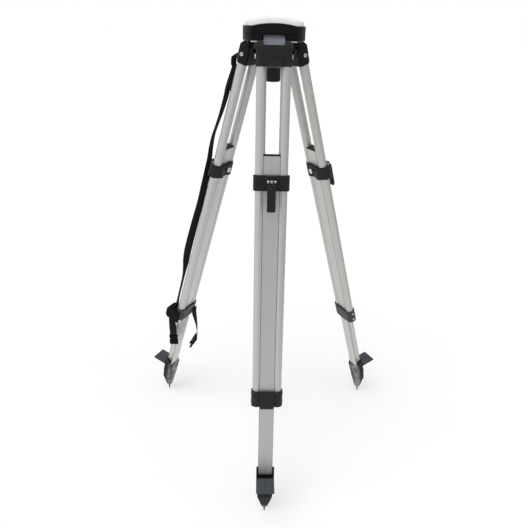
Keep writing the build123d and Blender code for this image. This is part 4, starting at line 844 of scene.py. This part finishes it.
# %% Geometry Nodes: the stitches
def stitch_tree():
    tree, given = new_tree("stitches", Seams="Geometry", Pitch="Float", Stitch="Float", Thread="Float",
                           Material="Material")
    seams = add_node(tree, "GeometryNodeMeshToCurve", {"Mesh": given["Seams"]})
    spaced = add_node(tree, "GeometryNodeResampleCurve",
                      {"Curve": seams, "Length": given["Pitch"]}, mode="LENGTH")
    tangent = add_node(tree, "GeometryNodeInputTangent")
    along = add_node(tree, "FunctionNodeAlignRotationToVector", {"Vector": tangent}, axis="X")
    facing = add_node(tree, "GeometryNodeInputNamedAttribute", {"Name": "facing"}, data_type="FLOAT_VECTOR")
    flat = add_node(tree, "FunctionNodeAlignRotationToVector",
                    {"Rotation": along, "Vector": facing}, axis="Z", pivot_axis="X")
    ball = add_node(tree, "GeometryNodeMeshUVSphere", {"Segments": 8, "Rings": 5, "Radius": 0.5})
    size = add_node(tree, "ShaderNodeCombineXYZ",
                    {"X": given["Stitch"], "Y": given["Thread"], "Z": given["Thread"]})
    laid = add_node(tree, "GeometryNodeInstanceOnPoints",
                    {"Points": spaced, "Instance": ball, "Rotation": flat, "Scale": size})
    smooth = add_node(tree, "GeometryNodeSetShadeSmooth", {"Geometry": laid})
    return end_tree(tree, smooth, given["Material"])


stitches = stitch_tree()

# %% [markdown]
# The seams themselves are lists of places on a strip: a distance along it and one across. Each point
# of a seam carries the strip's direction out, so that the thread lies on the surface.

# %% Seams on a strap
SEAM_STEP = 3 * MM
BOX_INSET = 4 * MM
ROW_INSET = 2.5 * MM
END_ROWS = (12 * MM, 5 * MM)    # distances of the rows from a strap's end


def seam(strip, start, end, face):
    """Points along a straight seam between two places on a strip, on one face of it."""
    reach = max(abs(end[0] - start[0]), abs(end[1] - start[1]))
    steps = max(1, round(reach / SEAM_STEP))
    line = []
    for step in range(steps + 1):
        share = step / steps
        distance = start[0] + (end[0] - start[0]) * share
        across = start[1] + (end[1] - start[1]) * share
        line.append(strip.place(distance, across, face * strip.thickness / 2))
    return line


def box_seams(strip, start, end):
    """A box with a cross in it."""
    edge = STRAP_WIDTH / 2 - BOX_INSET
    a, b, c, d = (start, -edge), (start, edge), (end, edge), (end, -edge)
    return [seam(strip, *ends, 1) for ends in ((a, b), (b, c), (c, d), (d, a), (a, c), (b, d))]


def end_rows(strip, face):
    """Rows across a strap at its end."""
    edge = STRAP_WIDTH / 2 - ROW_INSET
    rows = [strip.along[-1] - inset for inset in END_ROWS]
    return [seam(strip, (row, -edge), (row, edge), face) for row in rows]


sewn_first = len(SEWN_SHARES) + len(LOOP_POINTS)     # the outer layer's first point on the path
sewn_last = sewn_first + len(SEWN_SHARES) - 1
sewn_box = box_seams(carry, carry.along[sewn_first * PATH_STEPS], carry.along[sewn_last * PATH_STEPS])
print("the carry strap is sewn to itself with", len(sewn_box), "seams")

# %% [markdown]
# The stitches of a strap are one piece, carried by the left leg's upper half, like the straps.

# %% Sew the straps
STITCH = 4.2 * MM               # drawn longer and thicker than a real stitch of 3 mm, so that it shows
STITCH_PITCH = 5.6 * MM
THREAD_WIDTH = 1.3 * MM


def sew(name, seams):
    places = []
    edges = []
    for line in seams:
        edges += [(len(places) + i, len(places) + i + 1) for i in range(len(line) - 1)]
        places += line
    mesh = facing_points(name, [place for place, out in places], [out for place, out in places], edges)
    sewn = fit(grow(name, mesh, stitches, Pitch=STITCH_PITCH, Stitch=STITCH, Thread=THREAD_WIDTH,
                    Material=thread), "upper_leg_left")


sew("carry_strap_stitches", sewn_box + end_rows(carry, 1))
sew("closing_strap_stitches", end_rows(closing, 1) + end_rows(closing, -1))
sew("closing_tail_stitches", end_rows(tail, 1) + end_rows(tail, -1))

# %% [markdown]
# Fifteen small screws hold the tripod together: four in the ends of each lower bracket and three
# under the head. They are alike, so one head is made in Geometry Nodes, a short cone with a cross
# recess cut into it, and set on points that carry the direction each screw faces. A seeded random
# turn keeps the recesses from lining up, as hand-driven screws never do.

# %% Geometry Nodes: the screw heads
HEAD_SIDES = 28
HEAD_TAPER = 0.72               # radius of a head's top, as a share of its foot's
RECESS_REACH = 1.05             # length of the recess, as a share of the radius
RECESS_WIDTH = 0.28


def screw_head_tree():
    tree, given = new_tree("screw_heads", Places="Geometry", Radius="Float", Height="Float", Seed="Int",
                           Material="Material")
    top, reach, width = (add_node(tree, "ShaderNodeMath", {0: given["Radius"], 1: share},
                                  operation="MULTIPLY")
                         for share in (HEAD_TAPER, RECESS_REACH, RECESS_WIDTH))
    cut = add_node(tree, "GeometryNodeMeshCone",
                   {"Vertices": HEAD_SIDES, "Radius Top": top, "Radius Bottom": given["Radius"],
                    "Depth": given["Height"]})
    bar_size = add_node(tree, "ShaderNodeCombineXYZ", {"X": reach, "Y": width, "Z": given["Height"]})
    bar = add_node(tree, "GeometryNodeMeshCube", {"Size": bar_size})
    lift = add_node(tree, "ShaderNodeCombineXYZ", {"Z": given["Height"]})
    for turn in (0, pi / 2):
        cutter = add_node(tree, "GeometryNodeTransform",
                          {"Geometry": bar, "Translation": lift, "Rotation": (0, 0, turn)})
        cut = add_node(tree, "GeometryNodeMeshBoolean",
                       {"Mesh 1": cut, "Mesh 2": cutter}, operation="DIFFERENCE")
    facing = add_node(tree, "GeometryNodeInputNamedAttribute", {"Name": "facing"}, data_type="FLOAT_VECTOR")
    faced = add_node(tree, "FunctionNodeAlignRotationToVector", {"Vector": facing}, axis="Z")
    any_turn = add_node(tree, "FunctionNodeRandomValue",
                        {"Seed": given["Seed"], "Min": 0.0, "Max": pi / 2}, data_type="FLOAT")
    driven = add_node(tree, "FunctionNodeAxisAngleToRotation",
                      {"Axis": (0, 0, 1), "Angle": any_turn.outputs[1]})
    turned = add_node(tree, "FunctionNodeRotateRotation",
                      {"Rotation": faced, "Rotate By": driven}, rotation_space="LOCAL")
    placed = add_node(tree, "GeometryNodeInstanceOnPoints",
                      {"Points": given["Places"], "Instance": cut, "Rotation": turned})
    return end_tree(tree, placed, given["Material"])


screw_heads = screw_head_tree()

# %% [markdown]
# Each leg's upper half carries its own four screws, because it moves by itself, and the head has three.
# Their places come from the pieces that they hold. The two that the keeper of the straps covers, on the
# left leg, are painted dark as painted shade under the keeper.

# %% Set the screws
BRACKET_SCREW_ROWS = (798 * MM, 820 * MM)       # s
BRACKET_END = 40.2 * MM                         # v of the bracket's flat ends
BRACKET_HEAD = (3.2 * MM, 1.6 * MM)             # radius and height of a screw's head
RETAINER_CIRCLE = 38 * MM
RETAINER_TURNS = (radians(-30), radians(90), radians(210))
RETAINER_HEAD = (2.6 * MM, 1.5 * MM)


def set_screws(name, places, directions, body, node, head):
    radius, height = head
    piece = grow(name, facing_points(name, places, directions), screw_heads, Radius=radius, Height=height,
                 Seed=len(name), Material=bright_zinc)
    return fit(piece, body, node)


bracket_heads = {}
for name, leg in legs.items():
    ends = [(s, end) for s in BRACKET_SCREW_ROWS for end in (1, -1)]
    bracket_heads[name] = set_screws(
        f"bracket_screw_heads_{name}", [leg.point(s, 0, end * BRACKET_END) for s, end in ends],
        [leg.side * end for s, end in ends], f"upper_leg_{name}", f"bracket_screws_{name}", BRACKET_HEAD)
# the two heads on the keeper's side are painted dark as painted shade
under_keeper = bracket_heads["left"]
put_finish(under_keeper, bright_zinc)
under_keeper.data.materials.append(shade_dark_steel)
for face in under_keeper.data.polygons:
    face.material_index = int((face.center - left.pin).dot(left.side) > 0)
retainer_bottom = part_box("retainer_plate")[0].z
set_screws("retainer_screw_heads",
           [Vector((RETAINER_CIRCLE * cos(turn), RETAINER_CIRCLE * sin(turn), retainer_bottom))
            for turn in RETAINER_TURNS],
           [Vector((0, 0, -1))] * len(RETAINER_TURNS), "head", "retainer_screws", RETAINER_HEAD)

# %% [markdown]
# The fixing screw stands in the hole of the dome, ready for an instrument. Its body is turned: one
# outline spun about the axis, with a core where the thread goes.

# %% The fixing screw's body
SCREW_RADIUS = 7.94 * MM
THREAD_ROOT = 6.7 * MM
THREAD_PITCH = 25.4 * MM / 11
THREAD_LENGTH = 15.5 * MM
THREAD_GROOVE = 1.5 * MM
COLLAR_RADIUS = 19 * MM
COLLAR = (1193.6 * MM, 1197.6 * MM)     # heights of the collar's two faces
TURNED_SEGMENTS = 64

screw_low, screw_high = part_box("fixing_screw")
thread_bottom = screw_high.z - THREAD_LENGTH
groove_bottom = thread_bottom - THREAD_GROOVE
tip_bevel = SCREW_RADIUS - THREAD_ROOT
outline = ((SCREW_RADIUS, screw_low.z), (SCREW_RADIUS, COLLAR[0]), (COLLAR_RADIUS, COLLAR[0]),
           (COLLAR_RADIUS, COLLAR[1]), (SCREW_RADIUS, COLLAR[1]), (SCREW_RADIUS, groove_bottom),
           (THREAD_ROOT, groove_bottom), (THREAD_ROOT, screw_high.z - tip_bevel / 2),
           (THREAD_ROOT - tip_bevel / 2, screw_high.z))      # radius and height, bottom to top
turns = [2 * pi * k / TURNED_SEGMENTS for k in range(TURNED_SEGMENTS)]
screw_corners = [(radius * cos(turn), radius * sin(turn), z) for radius, z in outline for turn in turns]
screw_body = link_piece("fixing_screw_turned",
                        mesh_of_rows("fixing_screw_turned", screw_corners, TURNED_SEGMENTS))
put_finish(screw_body, plain_steel_and_shade)
fit(screw_body, "screw", "fixing_screw")
print("fixing screw stands", round((screw_high.z - screw_low.z) / MM, 1), "mm tall")

# %% [markdown]
# The thread could be cut out of the body, but a fine spiral cut is slow and often fails. It is a ridge
# on a helix instead, laid round the core: a spiral curve with a triangle drawn along it. The real
# pitch of this screw, eleven turns to the inch, is kept.

# %% Geometry Nodes: the thread
RIDGE = 1.1 * MM
TURN_STEPS = 40


def thread_tree():
    tree, given = new_tree("screw_thread", Start="Geometry", Radius="Float", Turns="Float",
                           Height="Float", Ridge="Float", Bottom="Float", Material="Material")
    helix = add_node(tree, "GeometryNodeCurveSpiral",
                     {"Resolution": TURN_STEPS, "Rotations": given["Turns"], "Height": given["Height"],
                      "Start Radius": given["Radius"], "End Radius": given["Radius"]})
    upright = add_node(tree, "GeometryNodeSetCurveNormal", {"Curve": helix}, mode="Z_UP")
    ridge = add_node(tree, "GeometryNodeCurvePrimitiveCircle", {"Resolution": 3, "Radius": given["Ridge"]})
    sweep = add_node(tree, "GeometryNodeCurveToMesh",
                     {"Curve": upright, "Profile Curve": ridge, "Fill Caps": True})
    lift = add_node(tree, "ShaderNodeCombineXYZ", {"Z": given["Bottom"]})
    placed = add_node(tree, "GeometryNodeTransform", {"Geometry": sweep, "Translation": lift})
    return end_tree(tree, placed, given["Material"])


thread_height = THREAD_LENGTH - 2 * RIDGE - tip_bevel
screw_thread = grow("fixing_screw_thread", bpy.data.meshes.new("fixing_screw_thread"), thread_tree(),
                    Radius=SCREW_RADIUS - RIDGE, Turns=thread_height / THREAD_PITCH, Height=thread_height,
                    Ridge=RIDGE, Bottom=thread_bottom + RIDGE, Material=plain_steel_and_shade)
face_outwards(screw_thread.data)
fit(screw_thread, "screw")
print("thread has", round(thread_height / THREAD_PITCH, 1), "turns")

# %% [markdown]
# The photograph looks down on the tripod from the front, from about the height of the head. The
# camera stands there, with the lens that gives the same perspective. It rolls a little, because the
# photographed tripod leans to one side and this one stands level.

# %% Camera
CAMERA_PLACE = Vector((-27.5, -1119.5, 1237.0)) * MM
CAMERA_YAW = radians(0.85)      # to the right
CAMERA_PITCH = radians(-28.06)
CAMERA_ROLL = radians(1.22)
LENS = 31.67                    # millimetres, on a sensor this many millimetres across
SENSOR = 36
NEAREST = 0.05                  # metres, nothing closer is drawn

camera_data = bpy.data.cameras.new("camera")
camera_data.lens = LENS
camera_data.sensor_width = SENSOR
camera_data.clip_start = NEAREST
camera = link_piece("camera", camera_data)
camera.matrix_world = (Matrix.Translation(CAMERA_PLACE) @ Matrix.Rotation(-CAMERA_YAW, 4, "Z")
                       @ Matrix.Rotation(pi / 2 + CAMERA_PITCH, 4, "X")
                       @ Matrix.Rotation(CAMERA_ROLL, 4, "Z"))
bpy.context.scene.camera = camera
print("camera at", [round(x, 3) for x in CAMERA_PLACE])

# %% [markdown]
# The studio is a white floor in white surroundings. The camera sees them plain white, while the light
# that they give is held lower, so that colours render as they are written. Reflections see a studio
# that is bright at the back on the left and gets darker to the right, which gives the round tubes
# their shading. A light path node tells these three apart.

# %% White surroundings
WHITE = (1.0, 1.0, 1.0, 1.0)
FILL = 0.5                      # light from the surroundings
DARK_GLOSS = 0.4                # how bright the darker side of the studio is in reflections
BRIGHT_SIDE = Vector((-0.8, 0.45, 0.3)).normalized()      # and where the brightest side lies
GLOSS_FADE = (-0.6, 0.6)        # cosine of the angle to that side where it is darkest and where brightest


def by_ray(tree, plain, mirrored, seen):
    """A strength that differs for plain light, for reflections and for what the camera sees."""
    path = add_node(tree, "ShaderNodeLightPath").outputs
    lit = add_node(tree, "ShaderNodeMapRange",
                   {"Value": path["Is Glossy Ray"], "To Min": plain, "To Max": mirrored})
    looked = add_node(tree, "ShaderNodeMath",
                      {0: path["Is Camera Ray"], 1: path["Is Transmission Ray"]}, operation="MAXIMUM")
    return add_node(tree, "ShaderNodeMapRange", {"Value": looked, "To Min": lit, "To Max": seen})


def white_surroundings():
    """White for the camera; in reflections it gets darker to the right and behind the camera."""
    world = bpy.data.worlds.new("studio")
    world.use_nodes = True
    tree = world.node_tree
    tree.nodes.clear()
    direction = add_node(tree, "ShaderNodeTexCoord").outputs["Generated"]
    toward = add_node(tree, "ShaderNodeVectorMath",
                      {0: direction, 1: BRIGHT_SIDE}, operation="DOT_PRODUCT").outputs["Value"]
    mirrored = add_node(tree, "ShaderNodeMapRange", {"Value": toward, "From Min": GLOSS_FADE[0],
                                                     "From Max": GLOSS_FADE[1], "To Min": DARK_GLOSS,
                                                     "To Max": 1.0})
    glow = add_node(tree, "ShaderNodeBackground",
                    {"Color": WHITE, "Strength": by_ray(tree, FILL, mirrored, 1.0)})
    add_node(tree, "ShaderNodeOutputWorld", {"Surface": glow})
    bpy.context.scene.world = world


white_surroundings()
print("surroundings give", FILL, "of white as light")

# %% [markdown]
# The floor is matt pale grey and keeps the tripod's soft shadow. A faint glow lifts it to white for
# the camera. It is large, so that its edge lies far off.

# %% White floor
FLOOR_SIZE = 60.0
FLOOR_GREY = (0.8, 0.8, 0.8, 1.0)
FLOOR_GLOW = 0.28               # what the camera sees on top of the lit grey, up to white
MIRRORED_GLOW = 0.4             # what reflections see on top of it, falling to none far on the right
GLOW_FADE = (0.3, 2.0)          # metres to the right where it begins to fall and where it ends


def white_floor():
    half = FLOOR_SIZE / 2
    mesh = bpy.data.meshes.new("floor")
    mesh.from_pydata([(-half, -half, 0), (half, -half, 0), (half, half, 0), (-half, half, 0)], [],
                     [(0, 1, 2, 3)])
    floor = link_piece("floor", mesh)
    material, tree = new_finish("floor_white")
    matt = add_node(tree, "ShaderNodeBsdfDiffuse", {"Color": FLOOR_GREY})
    place = add_node(tree, "ShaderNodeTexCoord").outputs["Object"]
    across = add_node(tree, "ShaderNodeSeparateXYZ", {"Vector": place}).outputs["X"]
    mirrored = add_node(tree, "ShaderNodeMapRange", {"Value": across, "From Min": GLOW_FADE[0],
                                                     "From Max": GLOW_FADE[1], "To Min": MIRRORED_GLOW,
                                                     "To Max": 0.0})
    glow = add_node(tree, "ShaderNodeEmission",
                    {"Color": WHITE, "Strength": by_ray(tree, 0.0, mirrored, FLOOR_GLOW)})
    both = add_node(tree, "ShaderNodeAddShader", {0: matt, 1: glow})
    add_node(tree, "ShaderNodeOutputMaterial", {"Surface": both})
    put_finish(floor, material)


white_floor()
print("floor is", FLOOR_SIZE, "m wide")

# %% [markdown]
# Two broad suns model the shapes, as soft as large light boxes far away: one high on the left, and a
# weaker one on the right. A sun lights all of the floor alike, so it stays evenly white.


# %% Soft lamps
def soft_sun(name, place, breadth, strength, gloss):
    """Even light from the direction of a place, as soft as a box this many degrees across."""
    lamp = bpy.data.lights.new(name, "SUN")
    lamp.angle = radians(breadth)
    lamp.energy = strength
    lamp.specular_factor = gloss
    holder = link_piece(name, lamp)
    holder.location = place
    holder.rotation_euler = (-place).to_track_quat("-Z", "Y").to_euler()


soft_sun("high_left", Vector((-1.2, -1.3, 3.2)), breadth=50, strength=1.2, gloss=0.25)
soft_sun("right", Vector((2.4, -1.9, 2.0)), breadth=70, strength=0.5, gloss=0.0)
bpy.context.scene.view_settings.view_transform = "Standard"
print("two suns lit")
